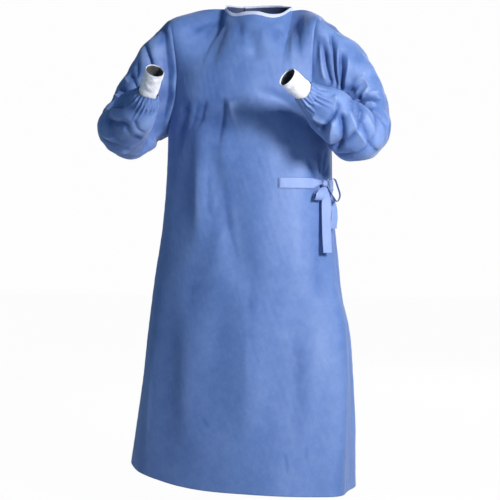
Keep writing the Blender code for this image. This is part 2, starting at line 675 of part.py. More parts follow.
def ribbon(name, grid):
    """A flat strip through rows of points, as thick as the tie's cloth."""
    grid = np.array(grid)
    wall_object(name, grid, normals_of(grid) * TIE_WALL / 2, TIE)


lift = WALL / 2 + SEAM_GAP + TIE_CLEAR + TIE_WALL / 2
knot_row = TIE_LEVEL * ROWS_BELOW
knot_out = unit(on_grid(front_out, knot_row, KNOT_COLUMN) * np.array((1, 1, 0)))
knot_across = np.array((-knot_out[1], knot_out[0], 0.0))
knot = on_grid(front_grid, knot_row, KNOT_COLUMN) + knot_out * (KNOT_OUT + WALL / 2)

front_strap = [strap_row(front_grid, front_out, FRONT_STRAP_BEGINS, lift)]
for column in range(math.ceil(FRONT_STRAP_BEGINS), FRONT_STRAP_LEAVES + 1):
    front_strap.append(strap_row(front_grid, front_out, column, lift))
front_strap.append(strap_end(knot, knot_across, knot_out, -1))
ribbon("tie_front_strap", front_strap)

back_strap = []
for column in (BACK_STRAP_BEGINS, LAST_COLUMN_RIGHT_BACK):
    back_strap.append(strap_row(back_grid, back_out, column, lift + LAP_STEP))
for column in range(LAST_COLUMN_RIGHT_BACK + 2, COLUMNS + 1):
    back_strap.append(strap_row(back_grid, back_out, column, lift))
for column in range(COLUMNS - 1, BACK_STRAP_LEAVES - 1, -1):
    back_strap.append(strap_row(front_grid, front_out, column, lift))
back_strap.append(strap_end(knot, knot_across, knot_out, 1))
ribbon("tie_back_strap", back_strap)


def bow_knot():
    """Rounded knot on the front panel."""
    mesh = bmesh.new()
    bmesh.ops.create_uvsphere(mesh, u_segments=KNOT_TURNS, v_segments=KNOT_BANDS, radius=1)
    for vertex in mesh.verts:
        x, y, z = vertex.co
        vertex.co = knot + knot_across * x * KNOT_ACROSS + knot_out * y * KNOT_DEEP
        vertex.co.z += z * KNOT_HIGH
    bmesh.ops.triangulate(mesh, faces=mesh.faces[:])
    bmesh.ops.recalc_face_normals(mesh, faces=mesh.faces[:])
    data = bpy.data.meshes.new("tie_knot")
    mesh.to_mesh(data)
    mesh.free()
    data.shade_smooth()
    data.materials.append(TIE)
    bpy.context.scene.collection.objects.link(bpy.data.objects.new("tie_knot", data))


bow_knot()

# Loops and tails of the bow. Each row is a place on the ribbon's middle line, measured from the
# middle of the knot across the panel, out from it and up, with the ribbon's width there and the
# turn of that width from across towards out, in degrees.
Place = namedtuple("Place", "across out up width turn")
LOOP_FRONT = [
    Place(-0.0068, 0.0030, -0.0080, 0.006, 0),
    Place(-0.0180, 0.0080, -0.0150, 0.018, 10),
    Place(-0.0265, 0.0100, -0.0250, 0.024, 15),
    Place(-0.0275, 0.0080, -0.0360, 0.025, 15),
    Place(-0.0270, 0.0020, -0.0400, 0.024, 15),
    Place(-0.0255, -0.0025, -0.0340, 0.022, 12),
    Place(-0.0220, -0.0035, -0.0220, 0.018, 8),
    Place(-0.0130, -0.0025, -0.0110, 0.008, 0),
]
LOOP_SIDE = [
    Place(0.0062, 0.0042, 0.0052, 0.009, 120),
    Place(0.0180, 0.0140, 0.0120, 0.017, 128),
    Place(0.0250, 0.0210, -0.0080, 0.022, 131),
    Place(0.0270, 0.0250, -0.0340, 0.022, 131),
    Place(0.0220, 0.0220, -0.0430, 0.022, 131),
    Place(0.0140, 0.0150, -0.0300, 0.018, 131),
    Place(0.0062, 0.0042, -0.0056, 0.008, 125),
]
TAIL_LONG = [
    Place(0.0000, 0.0030, -0.0086, 0.006, 0),
    Place(0.0010, 0.0060, -0.0200, 0.019, 12),
    Place(0.0000, 0.0065, -0.0400, 0.025, 20),
    Place(-0.0040, 0.0095, -0.0800, 0.025, 22),
    Place(-0.0090, 0.0150, -0.1250, 0.025, 20),
    Place(-0.0130, 0.0210, -0.1660, 0.025, 18),
]
TAIL_SHORT = [
    Place(0.0062, -0.0030, -0.0080, 0.006, 0),
    Place(0.0200, 0.0000, -0.0260, 0.018, 0),
    Place(0.0290, 0.0035, -0.0500, 0.023, 0),
    Place(0.0310, 0.0060, -0.0780, 0.023, 0),
    Place(0.0280, 0.0050, -0.1080, 0.023, 0),
]
LOOP_STEPS = 16
TAIL_STEPS = 9


def bow_ribbon(name, table, steps):
    """Ribbon of the bow through the rows of its table."""
    table = np.array(table)
    lengths = np.linalg.norm(np.diff(table[:, :3], axis=0), axis=1)
    knots = np.concatenate([[0], np.cumsum(lengths)])
    rows = []
    for row in curve_through(knots, table, np.linspace(0, knots[-1], steps + 1)):
        place = Place(*row)
        middle = knot + knot_across * place.across + knot_out * place.out
        middle = middle + np.array((0, 0, place.up))
        turn = math.radians(place.turn)
        sideways = knot_across * math.cos(turn) + knot_out * math.sin(turn)
        rows.append([middle + sideways * place.width / 2 * part for part in (-1, 0, 1)])
    ribbon(name, rows)


bow_ribbon("tie_loop_front", LOOP_FRONT, LOOP_STEPS)
bow_ribbon("tie_loop_side", LOOP_SIDE, LOOP_STEPS)
bow_ribbon("tie_tail_long", TAIL_LONG, TAIL_STEPS)
bow_ribbon("tie_tail_short", TAIL_SHORT, TAIL_STEPS)
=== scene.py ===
"""Looks of a blue wrap-back gown, worn with the arms raised in front.

Each section makes one piece of the gown, or a few like ones, over the solids of the frame. The gown
faces -Y, and +X is the wearer's left. Places on the cloth are given as part.py gives them.
"""

import math
from collections import namedtuple
from itertools import product

import bmesh
import bpy
import numpy as np
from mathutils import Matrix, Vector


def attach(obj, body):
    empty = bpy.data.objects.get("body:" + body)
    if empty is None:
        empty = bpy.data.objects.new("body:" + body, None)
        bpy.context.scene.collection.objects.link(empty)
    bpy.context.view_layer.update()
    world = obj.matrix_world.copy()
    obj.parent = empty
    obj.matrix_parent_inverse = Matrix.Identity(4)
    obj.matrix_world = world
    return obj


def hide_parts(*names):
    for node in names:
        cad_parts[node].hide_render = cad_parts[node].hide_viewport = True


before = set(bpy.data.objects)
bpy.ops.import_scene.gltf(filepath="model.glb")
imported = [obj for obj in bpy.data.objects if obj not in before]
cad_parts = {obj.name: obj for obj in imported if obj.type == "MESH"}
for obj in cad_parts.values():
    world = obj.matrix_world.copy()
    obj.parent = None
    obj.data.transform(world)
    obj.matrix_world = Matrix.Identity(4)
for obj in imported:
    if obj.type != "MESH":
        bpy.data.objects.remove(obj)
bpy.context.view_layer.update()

# Front panel. One piece of blue spunbond nonwoven from hem to neck, matt, with fine bond dots. It is
# sewn to the back panels down the sides and over the shoulders, and its hem is turned under.
Section = namedtuple("Section", "level z middle half side front back turn")
TORSO = [
    Section("hem", -1.144, -0.031, 0.285, 0.000, 0.188, 0.190, -15.0),
    Section("shin", -0.900, -0.016, 0.264, 0.000, 0.172, 0.178, -11.0),
    Section("knee", -0.660, -0.010, 0.236, 0.000, 0.156, 0.160, -6.0),
    Section("waist", -0.430, -0.002, 0.209, -0.004, 0.142, 0.140, -2.0),
    Section("underarm", -0.285, 0.000, 0.205, -0.004, 0.140, 0.132, 0.0),
]
ChestSection = namedtuple("ChestSection", "rise z middle half side front back")
CHEST = [
    ChestSection(0.00, -0.285, 0.000, 0.205, -0.004, 0.140, 0.132),
    ChestSection(0.40, -0.170, 0.002, 0.204, -0.006, 0.134, 0.132),
    ChestSection(0.75, -0.060, 0.006, 0.204, -0.006, 0.100, 0.112),
    ChestSection(1.00, 0.010, 0.010, 0.204, -0.006, 0.080, 0.090),
]
ROUNDNESS = 0.92
ARMHOLE_FRONT = math.radians(36.0)
ARMHOLE_BACK = math.radians(32.0)
ARMHOLE_BEND = 0.40
HEM_LIFT_RIGHT = 0.032
HEM_DROP_LEFT = 0.013
HEM_LIFT_TOP = -0.66
SHOULDER_RIGHT = np.array((-0.190, -0.012, 0.008))
SHOULDER_LEFT = np.array((0.184, -0.014, -0.003))
NECK_RIGHT = np.array((-0.062, -0.002, 0.029))
NECK_LEFT = np.array((0.108, -0.006, 0.017))
NECK_FRONT = np.array((0.026, -0.078, -0.006))
NECK_BACK = np.array((0.024, 0.062, 0.036))
NECK_SHARE = 0.25
SHOULDER_ARCH = 0.009
SHOULDER_SWEEP = np.array((0.0, 0.400, 0.064))
NECK_SWEEP_FRONT = np.array((0.0, 0.180, 0.300))
NECK_SWEEP_BACK = np.array((0.0, -0.140, 0.340))
TURN_IN_BEGINS = 0.45
STEP_ROUND = 0.012
STEP_UP = 0.006

# The cloth's largest folds. The solids have the same ones, but five of them on the skirt are 3 to 7
# mm higher or deeper there, and the right shoulder's hollow is 2 mm deeper. A fold runs between two
# places, each given by how far round the torso it is, 0 to 1 over the front and 1 to 2 over the
# back, and by its level: 0 at the hem, 1 at the underarm and 2 at the shoulder seam.
Fold = namedtuple("Fold", "name round_a level_a round_b level_b half_width height")
FOLDS = [
    Fold("front left corner", 0.950, 0.60, 0.925, 0.00, 0.055, 0.022),
    Fold("hollow to the middle", 0.405, 0.98, 0.585, 0.50, 0.028, -0.009),
    Fold("right waist ridge", 0.355, 1.10, 0.400, 0.62, 0.026, 0.008),
    Fold("middle waist ridge", 0.455, 1.02, 0.480, 0.60, 0.020, 0.006),
    Fold("lower right ridge", 0.385, 0.56, 0.450, 0.02, 0.040, 0.004),
    Fold("lower right hollow", 0.300, 0.66, 0.395, 0.00, 0.044, -0.002),
    Fold("right side ridge", 0.175, 0.66, 0.270, 0.00, 0.040, 0.004),
    Fold("lower middle ridge", 0.570, 0.60, 0.595, 0.10, 0.026, 0.005),
    Fold("lower left hollow", 0.728, 0.56, 0.722, 0.12, 0.036, -0.006),
    Fold("hollow under the arm", 0.650, 1.36, 0.900, 0.90, 0.045, -0.013),
    Fold("hollow under the neck", 0.470, 1.94, 0.590, 1.52, 0.024, -0.008),
    Fold("right shoulder hollow", 0.350, 1.98, 0.315, 1.50, 0.024, -0.005),
    Fold("left back hem ridge", 1.170, 0.60, 1.140, 0.00, 0.050, 0.018),
    Fold("left back hollow", 1.330, 0.92, 1.290, 0.00, 0.045, -0.014),
    Fold("middle back ridge", 1.440, 1.25, 1.470, 0.00, 0.050, 0.014),
    Fold("middle back hollow", 1.610, 1.10, 1.625, 0.00, 0.042, -0.014),
    Fold("right back ridge", 1.740, 1.20, 1.760, 0.00, 0.046, 0.015),
    Fold("right back hollow", 1.880, 0.80, 1.885, 0.00, 0.040, -0.010),
    Fold("right blade hollow", 1.700, 1.86, 1.640, 1.30, 0.030, -0.008),
    Fold("left blade hollow", 1.290, 1.86, 1.350, 1.30, 0.030, -0.008),
]
FOLD_FADE = 0.28
STILL_FROM = 0.75
STILL_READY = 1.0
STILL_ROUND = 0.10
STILL_AT_SHOULDER = 0.14
FRONT_GIRTH_UNDERARM = 0.56
FRONT_GIRTH_HEM = 0.76

PANEL_COLUMNS = 224
ROWS_BELOW = 256
ROWS_BEND = 50
ROWS_ABOVE = 62
CLOTH_OUT = 0.0008
SHORTEST = 1e-12

# The neck's edges rise and fall: place across the panel, half width there, and height.
FRONT_NECK_WAVES = (
    (0.500, 0.050, 0.0045),
    (0.390, 0.050, -0.0050),
    (0.600, 0.055, -0.0052),
    (0.705, 0.035, 0.0040),
)
BACK_NECK_WAVES = ((0.57, 0.060, 0.0014), (0.40, 0.060, -0.0032))
NECK_WAVE_BEGINS = 1.84


def curve_through(knots, values, at):
    """Cubic curve through the values at the knots, with slopes taken from their neighbours."""
    knots = np.asarray(knots, float)
    values = np.asarray(values, float)
    slopes = np.gradient(values, knots, axis=0)
    at = np.clip(np.asarray(at, float), knots[0], knots[-1])
    left = np.clip(np.searchsorted(knots, at, side="right") - 1, 0, len(knots) - 2)
    span = knots[left + 1] - knots[left]
    t = (at - knots[left]) / span
    if values.ndim > 1:
        t = t.reshape(t.shape + (1,) * (values.ndim - 1))
        span = span.reshape(t.shape)
    first = (1 + 2 * t) * (1 - t) ** 2 * values[left] + t**2 * (3 - 2 * t) * values[left + 1]
    second = t * (1 - t) ** 2 * slopes[left] + t**2 * (t - 1) * slopes[left + 1]
    return first + second * span


def between(rows, knots, at):
    """The table's row at a place between its rows, with the knots saying where each row is."""
    columns = list(zip(*rows))[1:]
    return rows[0]._make([None] + [curve_through(knots, column, at) for column in columns])


def smooth_step(x):
    x = np.clip(x, 0.0, 1.0)
    return x * x * (3 - 2 * x)


def swell(x, middle, width):
    """1 at the middle, falling softly to 0 on both sides."""
    return np.exp(-(((x - middle) / width) ** 2))


def unit(vector):
    return vector / np.maximum(np.linalg.norm(vector, axis=-1, keepdims=True), SHORTEST)


def normals_of(grid, wrap=False):
    """Unit normals of a grid of points; the second index may run round a ring."""
    down = np.gradient(grid, axis=0)
    if wrap:
        across = np.roll(grid, -1, axis=1) - np.roll(grid, 1, axis=1)
    else:
        across = np.gradient(grid, axis=1)
    return unit(np.cross(across, down))


Profile = namedtuple("Profile", "z middle half side front back")
PROFILE = [Profile(*row[1:7]) for row in TORSO] + [Profile(*row[1:]) for row in CHEST[1:]]


def profile_at(height):
    """The torso's measures at a height, on one smooth curve from the hem to the shoulders."""
    columns = list(zip(*PROFILE))
    return Profile(height, *[curve_through(columns[0], column, height) for column in columns[1:]])


def ring_point(angle, section, out, turn):
    """Point of a torso section; the angle runs from the right side seam to the left one."""
    across = -section.half * np.sign(np.cos(angle)) * np.abs(np.cos(angle)) ** ROUNDNESS
    along = out * np.abs(np.sin(angle)) ** ROUNDNESS
    x = section.middle + across * np.cos(turn) - along * np.sin(turn)
    y = section.side + across * np.sin(turn) + along * np.cos(turn)
    return np.stack([x, y, section.z + 0 * x], axis=-1)


def below_underarm(angle, height, facing):
    """Torso surface from the hem, height 0, to the underarm, height 1."""
    hem = TORSO[0].z
    rise = TORSO[-1].z - hem
    section = between(TORSO, [(row.z - hem) / rise for row in TORSO], height)
    turn = np.radians(section.turn)
    section = profile_at(section.z)
    out = -section.front if facing == "front" else section.back
    point = ring_point(angle, section, out, turn)
    share = np.clip((section.z - HEM_LIFT_TOP) / (hem - HEM_LIFT_TOP), 0, 1) ** 2
    side = (point[..., 0] - section.middle) / section.half
    lift = np.where(side < 0, HEM_LIFT_RIGHT, HEM_DROP_LEFT) * -side * np.abs(side)
    point[..., 2] += share * lift
    return point


def top_edge(s, facing):
    """Shoulder seam, neckline, shoulder seam. s runs from the right armhole to the left one."""
    to_neck = np.clip(s / NECK_SHARE, 0, 1)[..., None]
    to_arm = np.clip((s - 1 + NECK_SHARE) / NECK_SHARE, 0, 1)[..., None]
    turn = np.pi * np.clip((s - NECK_SHARE) / (1 - 2 * NECK_SHARE), 0, 1)[..., None]
    middle = NECK_FRONT if facing == "front" else NECK_BACK
    centre = (NECK_RIGHT + NECK_LEFT) / 2
    round_neck = centre - (NECK_LEFT - NECK_RIGHT) / 2 * np.cos(turn) + (middle - centre) * np.sin(turn)
    arch = np.array((0, 0, SHOULDER_ARCH))
    right = SHOULDER_RIGHT * (1 - to_neck) + NECK_RIGHT * to_neck + arch * np.sin(np.pi * to_neck)
    left = NECK_LEFT * (1 - to_arm) + SHOULDER_LEFT * to_arm + arch * np.sin(np.pi * to_arm)
    on_right = (s < NECK_SHARE)[..., None]
    on_left = (s > 1 - NECK_SHARE)[..., None]
    return np.where(on_right, right, np.where(on_left, left, round_neck))


def armhole_edge(cut, level):
    """The angle that an armhole cuts off a panel at a level, growing to the whole cut."""
    return cut * np.sqrt(1 - (1 - np.clip((level - 1) / ARMHOLE_BEND, 0, 1)) ** 2)


def above_underarm(s, rise, facing):
    """Torso surface from the underarm, rise 0, to the shoulder seam and neckline, rise 1."""
    cut = ARMHOLE_FRONT if facing == "front" else ARMHOLE_BACK
    edge = armhole_edge(cut, 1 + rise)
    angle = edge + (np.pi - 2 * edge) * s
    section = profile_at(curve_through([row.rise for row in CHEST], [row.z for row in CHEST], rise))
    out = -section.front if facing == "front" else section.back
    body = ring_point(angle, section, out, 0.0)
    from_neck = np.clip(np.abs(s - 0.5) - (0.5 - NECK_SHARE), 0, NECK_SHARE) / NECK_SHARE
    near_neck = (1 - smooth_step(from_neck))[..., None]
    sweep = SHOULDER_SWEEP * np.array((1, 1 if facing == "front" else -1, 1))
    neck_sweep = NECK_SWEEP_FRONT if facing == "front" else NECK_SWEEP_BACK
    sweep = sweep * (1 - near_neck) + neck_sweep * near_neck
    top = top_edge(s, facing) + (rise - 1)[..., None] * sweep
    share = smooth_step((rise - TURN_IN_BEGINS) / (1 - TURN_IN_BEGINS))[..., None]
    return body * (1 - share) + top * share


def torso(s, level, facing):
    """Torso surface: level 0 is the hem, 1 the underarm and 2 the shoulder seam."""
    below = below_underarm(np.pi * s, np.clip(level, 0, 1), facing)
    above = above_underarm(s, np.clip(level - 1, 0, 1), facing)
    return np.where((level <= 1)[..., None], below, above)


def facing_out(s, level, facing):
    """Unit normals of the torso surface, from small steps round it and up it."""
    cut = ARMHOLE_FRONT if facing == "front" else ARMHOLE_BACK

    def point(turned, height):
        height = np.clip(height, 0, 2)
        edge = armhole_edge(cut, height)
        return torso((turned - edge) / (np.pi - 2 * edge), height, facing)

    edge = armhole_edge(cut, level)
    turned = edge + (np.pi - 2 * edge) * s
    across = point(turned + STEP_ROUND, level) - point(turned - STEP_ROUND, level)
    up = point(turned, level + STEP_UP) - point(turned, level - STEP_UP)
    return unit(np.cross(across, up)) * (1 if facing == "front" else -1)


def fold_height(round_at, level):
    """How far the large folds move the torso cloth outwards."""
    girth = FRONT_GIRTH_HEM + (FRONT_GIRTH_UNDERARM - FRONT_GIRTH_HEM) * np.clip(level, 0, 1)
    total = np.zeros_like(round_at)
    cut = np.where(round_at < 1, ARMHOLE_FRONT, ARMHOLE_BACK) / np.pi
    edge = armhole_edge(cut, level)
    soft_edge = cut * smooth_step((level - 1) / ARMHOLE_BEND)
    turned = edge + (1 - 2 * edge) * (round_at % 1)
    round_at = np.floor(round_at) + (turned - soft_edge) / (1 - 2 * soft_edge)
    for fold in FOLDS:
        part = (fold.level_a - level) / (fold.level_a - fold.level_b)
        line = fold.round_a + (fold.round_b - fold.round_a) * part
        away = (round_at - line + 1) % 2 - 1
        ends = smooth_step(part / FOLD_FADE)
        if fold.level_b > 0:
            ends = ends * smooth_step((1 - part) / FOLD_FADE)
        total += fold.height * ends * swell(away * girth, 0, fold.half_width)
    return total


def neck_wave(s, level, waves):
    """How far a neck edge rises and falls, fading out below it."""
    total = sum(height * swell(s, middle, width) for middle, width, height in waves)
    return total * smooth_step((level - NECK_WAVE_BEGINS) / (2 - NECK_WAVE_BEGINS))


def near_seams(round_at, level):
    """1 in the open cloth, falling to 0 at the armholes and the shoulder seams."""
    from_seam = np.minimum(np.abs(round_at % 1), 1 - np.abs(round_at % 1))
    at_armhole = smooth_step((level - STILL_FROM) / (STILL_READY - STILL_FROM))
    at_shoulder = smooth_step((2 - level) / STILL_AT_SHOULDER)
    return (1 - at_armhole * (1 - smooth_step(from_seam / STILL_ROUND))) * at_shoulder


def torso_grids():
    """Surfaces of the front and the whole back, their outward directions, and their levels."""
    below = np.linspace(0, 1, ROWS_BELOW + 1)[:-1]
    bend = 1 + ARMHOLE_BEND * (1 - np.cos(np.pi / 2 * np.arange(ROWS_BEND) / ROWS_BEND))
    levels = np.concatenate([below, bend, 1 + np.linspace(ARMHOLE_BEND, 1, ROWS_ABOVE + 1)])
    level, across = np.meshgrid(levels, np.linspace(0, 1, PANEL_COLUMNS + 1), indexing="ij")
    front, back = [torso(across, level, facing) for facing in ("front", "back")]
    front_out, back_out = [facing_out(across, level, facing) for facing in ("front", "back")]
    skirt = slice(0, ROWS_BELOW + 1)
    for column in (0, -1):
        shared = unit(front_out[skirt, column] + back_out[skirt, column])
        front_out[skirt, column] = shared
        back_out[skirt, column] = shared
    top = unit(front_out[-1] + back_out[-1])
    beside_neck = np.abs(across[-1] - 0.5) >= 0.5 - NECK_SHARE
    front_out[-1][beside_neck] = top[beside_neck]
    back_out[-1][beside_neck] = top[beside_neck]
    still = near_seams(across, level)
    front = front + front_out * (fold_height(across, level) * still)[..., None]
    back = back + back_out * (fold_height(2 - across, level) * still)[..., None]
    front[..., 2] += neck_wave(across, level, FRONT_NECK_WAVES)
    back[..., 2] += neck_wave(across, level, BACK_NECK_WAVES)
    return front, back, front_out, back_out, levels, still


front_grid, back_grid, front_out, back_out, LEVELS, STILL = torso_grids()

# Creases are finer than the folds. Each row has the places that a crease runs through on its piece,
# in mm its half widths on its left and right as it runs and its height, with hollows below zero,
# then how blunt it is across, 2 being round and 1 sharp, and over what part of its length it rises
# and falls.
Crease = namedtuple("Crease", "path left right height blunt rise fall")
MM = 0.001
CREASE_STEPS = 40
CREASE_REACH = 3.0
FAR_AWAY = 1e9


def on_grid(grid, rows, columns, wrap=False):
    """Points between the points of a grid, at rows and columns that may be fractions."""
    i = np.clip(np.floor(rows).astype(int), 0, grid.shape[0] - 2)
    count = grid.shape[1]
    j = np.floor(columns).astype(int)
    j = j % count if wrap else np.clip(j, 0, count - 2)
    k = (j + 1) % count
    up = (rows - i)[..., None]
    along = (columns - np.floor(columns) if wrap else columns - j)[..., None]
    low = grid[i, j] * (1 - along) + grid[i, k] * along
    high = grid[i + 1, j] * (1 - along) + grid[i + 1, k] * along
    return low * (1 - up) + high * up


def crease_relief(grid, out, creases, place):
    """How far the creases move a piece's points outwards; place gives rows and columns of a path."""
    points = grid.reshape(-1, 3)
    total = np.zeros(len(points))
    for crease in (Crease(*row) for row in creases):
        path = np.array(crease.path)
        steps = np.linspace(0, len(path) - 1, CREASE_STEPS)
        rows, columns, wrap = place(path, steps)
        line = on_grid(grid, rows, columns, wrap)
        facing = unit(on_grid(out, rows, columns, wrap))
        reach = CREASE_REACH * max(crease.left, crease.right) * MM
        close = np.all((points > line.min(0) - reach) & (points < line.max(0) + reach), axis=1)
        close = np.flatnonzero(close)
        if not len(close):
            continue
        here = points[close]
        best = np.full(len(close), FAR_AWAY)
        away = np.zeros(len(close))
        part = np.zeros(len(close))
        for k in range(CREASE_STEPS - 1):
            ahead = line[k + 1] - line[k]
            t = np.clip((here - line[k]) @ ahead / (ahead @ ahead), 0, 1)
            offset = here - line[k] - t[:, None] * ahead
            distance = np.linalg.norm(offset, axis=1)
            closer = distance < best
            best = np.where(closer, distance, best)
            to_left = np.cross(facing[k], ahead)
            away = np.where(closer, offset @ to_left, away)
            part = np.where(closer, (k + t) / (CREASE_STEPS - 1), part)
        width = np.where(away > 0, crease.left, crease.right) * MM
        ends = smooth_step(part / crease.rise) * smooth_step((1 - part) / crease.fall)
        total[close] += crease.height * MM * ends * np.exp(-((best / width) ** crease.blunt))
    return total.reshape(grid.shape[:2])


WAVES = 18
WAVE_PITCH = (0.7, 1.5)


def ripples(points, wavelength, seed, stretch=(1.0, 1.0, 1.0)):
    """Soft random relief about 1 high, from plane waves near one wavelength."""
    chance = np.random.default_rng(seed)
    total = np.zeros(points.shape[:-1])
    for _ in range(WAVES):
        direction = unit(chance.normal(size=3)) / np.array(stretch)
        pitch = wavelength * chance.uniform(*WAVE_PITCH)
        total += np.sin(points @ direction * 2 * np.pi / pitch + chance.uniform(0, 2 * np.pi))
    return total / math.sqrt(WAVES / 2)


FACET_WAVES = 7
FACET_PITCH = (0.8, 1.9)
FACET_BEND = 0.16
FACET_BEND_LENGTH = 2.2
FACET_PATCH_LENGTH = 1.8
FACET_MIDDLE = 0.5
FACET_SWING = 0.7
FACET_MOST = 1.2


def crumples(points, wavelength, seed):
    """Crisp random facets about 1 high, from a few bent sharp waves that come and go."""
    chance = np.random.default_rng(seed)
    bends = [ripples(points, wavelength * FACET_BEND_LENGTH, seed + k) for k in (1, 2, 3)]
    bent = points + np.stack(bends, axis=-1) * wavelength * FACET_BEND
    total = np.zeros(points.shape[:-1])
    for k in range(FACET_WAVES):
        pitch = wavelength * chance.uniform(*FACET_PITCH)
        turns = bent @ unit(chance.normal(size=3)) / pitch + chance.uniform(0, 1)
        sharp = 1 - 4 * np.abs(turns % 1 - 0.5)
        patches = ripples(points, wavelength * FACET_PATCH_LENGTH, seed + 10 + k)
        total += sharp * np.clip(FACET_MIDDLE + FACET_SWING * patches, 0, FACET_MOST)
    return total / 2


def panel_place(cut):
    """How a torso panel's creases find their rows and columns, with the angle its armholes cut."""

    def place(path, steps):
        edge = armhole_edge(cut / np.pi, path[:, 1])
        turned = np.stack([edge + (1 - 2 * edge) * path[:, 0], path[:, 1]], axis=-1)
        line = curve_through(np.arange(len(path)), turned, steps)
        edge = armhole_edge(cut / np.pi, line[:, 1])
        columns = (line[:, 0] - edge) / (1 - 2 * edge) * PANEL_COLUMNS
        return np.interp(line[:, 1], LEVELS, np.arange(len(LEVELS))), columns, False

    return place


FRONT_CREASES = [
    # From the neck and the shoulders
    (((0.3, 1.975), (0.285, 1.86), (0.262, 1.66)), 6, 12, -6, 1.4, 0.1, 0.6),
    (((0.225, 1.95), (0.2, 1.7)), 10, 12, -3, 1.8, 0.4, 0.4),
    (((0.21, 1.9), (0.12, 1.72)), 9, 12, -3.5, 1.7, 0.4, 0.4),
    (((0.42, 1.99), (0.45, 1.84), (0.49, 1.62)), 10, 18, -6, 1.6, 0.1, 0.6),
    (((0.66, 1.9), (0.64, 1.68)), 12, 16, -3, 1.8, 0.4, 0.5),
    (((0.8, 1.97), (0.85, 1.72), (0.9, 1.45)), 10, 16, -4, 1.6, 0.25, 0.5),
    (((0.79, 1.8), (0.83, 1.5)), 14, 10, 3.5, 1.6, 0.4, 0.4),
    # Down the breast
    (((0.16, 1.3), (0.19, 1.08), (0.22, 0.9)), 16, 20, -6, 1.7, 0.3, 0.4),
    (((0.255, 1.28), (0.31, 0.98)), 10, 13, -4, 1.6, 0.35, 0.4),
    (((0.31, 1.28), (0.345, 0.98)), 8, 13, -4.8, 1.4, 0.35, 0.4),
    (((0.425, 1.28), (0.43, 1.1), (0.44, 0.92)), 9, 16, -7.5, 1.3, 0.25, 0.35),
    (((0.455, 1.25), (0.47, 1.16), (0.5, 1)), 14, 8, 6, 1.3, 0.3, 0.45),
    # Long folds from the waist to the knee
    (((0.347, 0.96), (0.365, 0.82), (0.4, 0.68)), 13, 15, 2.9, 1.5, 0.45, 0.5),
    (((0.4, 0.93), (0.408, 0.83), (0.43, 0.72)), 10, 14, -2.6, 1.4, 0.45, 0.5),
    (((0.43, 0.83), (0.44, 0.76)), 7, 10, 1.3, 1.4, 0.45, 0.5),
    (((0.45, 0.91), (0.475, 0.785), (0.495, 0.71), (0.545, 0.53)), 12, 18, -3.6, 1.6, 0.45, 0.5),
    (((0.48, 0.86), (0.51, 0.72), (0.56, 0.56)), 22, 15, 2.3, 1.6, 0.45, 0.5),
    (((0.385, 0.64), (0.39, 0.45)), 16, 18, -1.4, 1.8, 0.45, 0.5),
    (((0.39, 0.5), (0.4, 0.37), (0.43, 0.22), (0.47, 0.08)), 24, 30, 1.4, 2, 0.5, 0.5),
    (((0.345, 0.5), (0.375, 0.22), (0.415, 0.06)), 24, 26, -1.2, 2, 0.5, 0.5),
    (((0.57, 0.6), (0.583, 0.42)), 11, 14, -2, 1.7, 0.45, 0.5),
    (((0.563, 0.5), (0.582, 0.35), (0.59, 0.22)), 10, 12, 1.4, 1.6, 0.45, 0.5),
    (((0.83, 0.82), (0.84, 0.63), (0.85, 0.5)), 15, 18, -2.1, 1.6, 0.45, 0.5),
    (((0.74, 0.8), (0.735, 0.53)), 15, 18, 1.7, 1.6, 0.45, 0.5),
    (((0.716, 0.45), (0.72, 0.28), (0.722, 0.15)), 18, 16, 1.8, 1.8, 0.45, 0.5),
    (((0.731, 0.43), (0.741, 0.36), (0.745, 0.22)), 16, 22, -2, 1.8, 0.45, 0.5),
    (((0.225, 0.4), (0.26, 0.2), (0.3, 0.03)), 10, 13, 2.3, 1.3, 0.45, 0.5),
    (((0.14, 0.7), (0.17, 0.4), (0.2, 0.15)), 18, 18, -2.3, 1.6, 0.45, 0.5),
    # Small crumples above the hem
    (((0.47, 0.2), (0.52, 0.15)), 5, 6, -1.8, 1.3, 0.4, 0.4),
    (((0.48, 0.155), (0.51, 0.175)), 5, 6, 1.6, 1.3, 0.4, 0.4),
    (((0.722, 0.12), (0.735, 0.05)), 4, 7, -2, 1.3, 0.4, 0.4),
    (((0.79, 0.14), (0.8, 0.08)), 4, 7, -2, 1.3, 0.4, 0.4),
    # Gathers above and beside the knot
    (((0.78, 0.93), (0.812, 0.89), (0.85, 0.862)), 6, 7, -5.5, 1.3, 0.4, 0.15),
    (((0.815, 0.93), (0.862, 0.868)), 5, 6, 4, 1.3, 0.4, 0.15),
    (((0.85, 0.96), (0.872, 0.868)), 5, 6, -5.5, 1.3, 0.4, 0.15),
    (((0.884, 0.95), (0.88, 0.868)), 5, 6, 4, 1.3, 0.4, 0.15),
    (((0.915, 0.95), (0.89, 0.866)), 5, 6, -5, 1.3, 0.4, 0.15),
    (((0.95, 0.91), (0.9, 0.858)), 6, 6, -4, 1.3, 0.4, 0.15),
    (((0.905, 0.7), (0.885, 0.832)), 7, 8, -3.5, 1.3, 0.4, 0.15),
]

CLOTH_RIPPLE = 0.0007
FINE_RIPPLE = 0.00012
FINE_RIPPLE_LENGTH = 0.016
SEAM_DIP = 0.0009
SEAM_REACH = 0.0045
SEAM_QUIET = 0.03
PANEL_WIDTH = 0.56
SHOULDER_RISE = 0.25
RIPPLE_LENGTH = 0.085
RIPPLE_SEED = 3
FINE_RIPPLE_SEED = 4
HEM_TURN = 4
HEM_FOLD = 0.0011
BODY_MIDDLE = np.array((0.0, 0.0, -0.6))
FRONT_CLOTH = (0.66, 1.20)
DOWN_THE_CLOTH = (1, 1, 2.6)
DOWN_THE_FIBRES = (1, 1, 1.6)


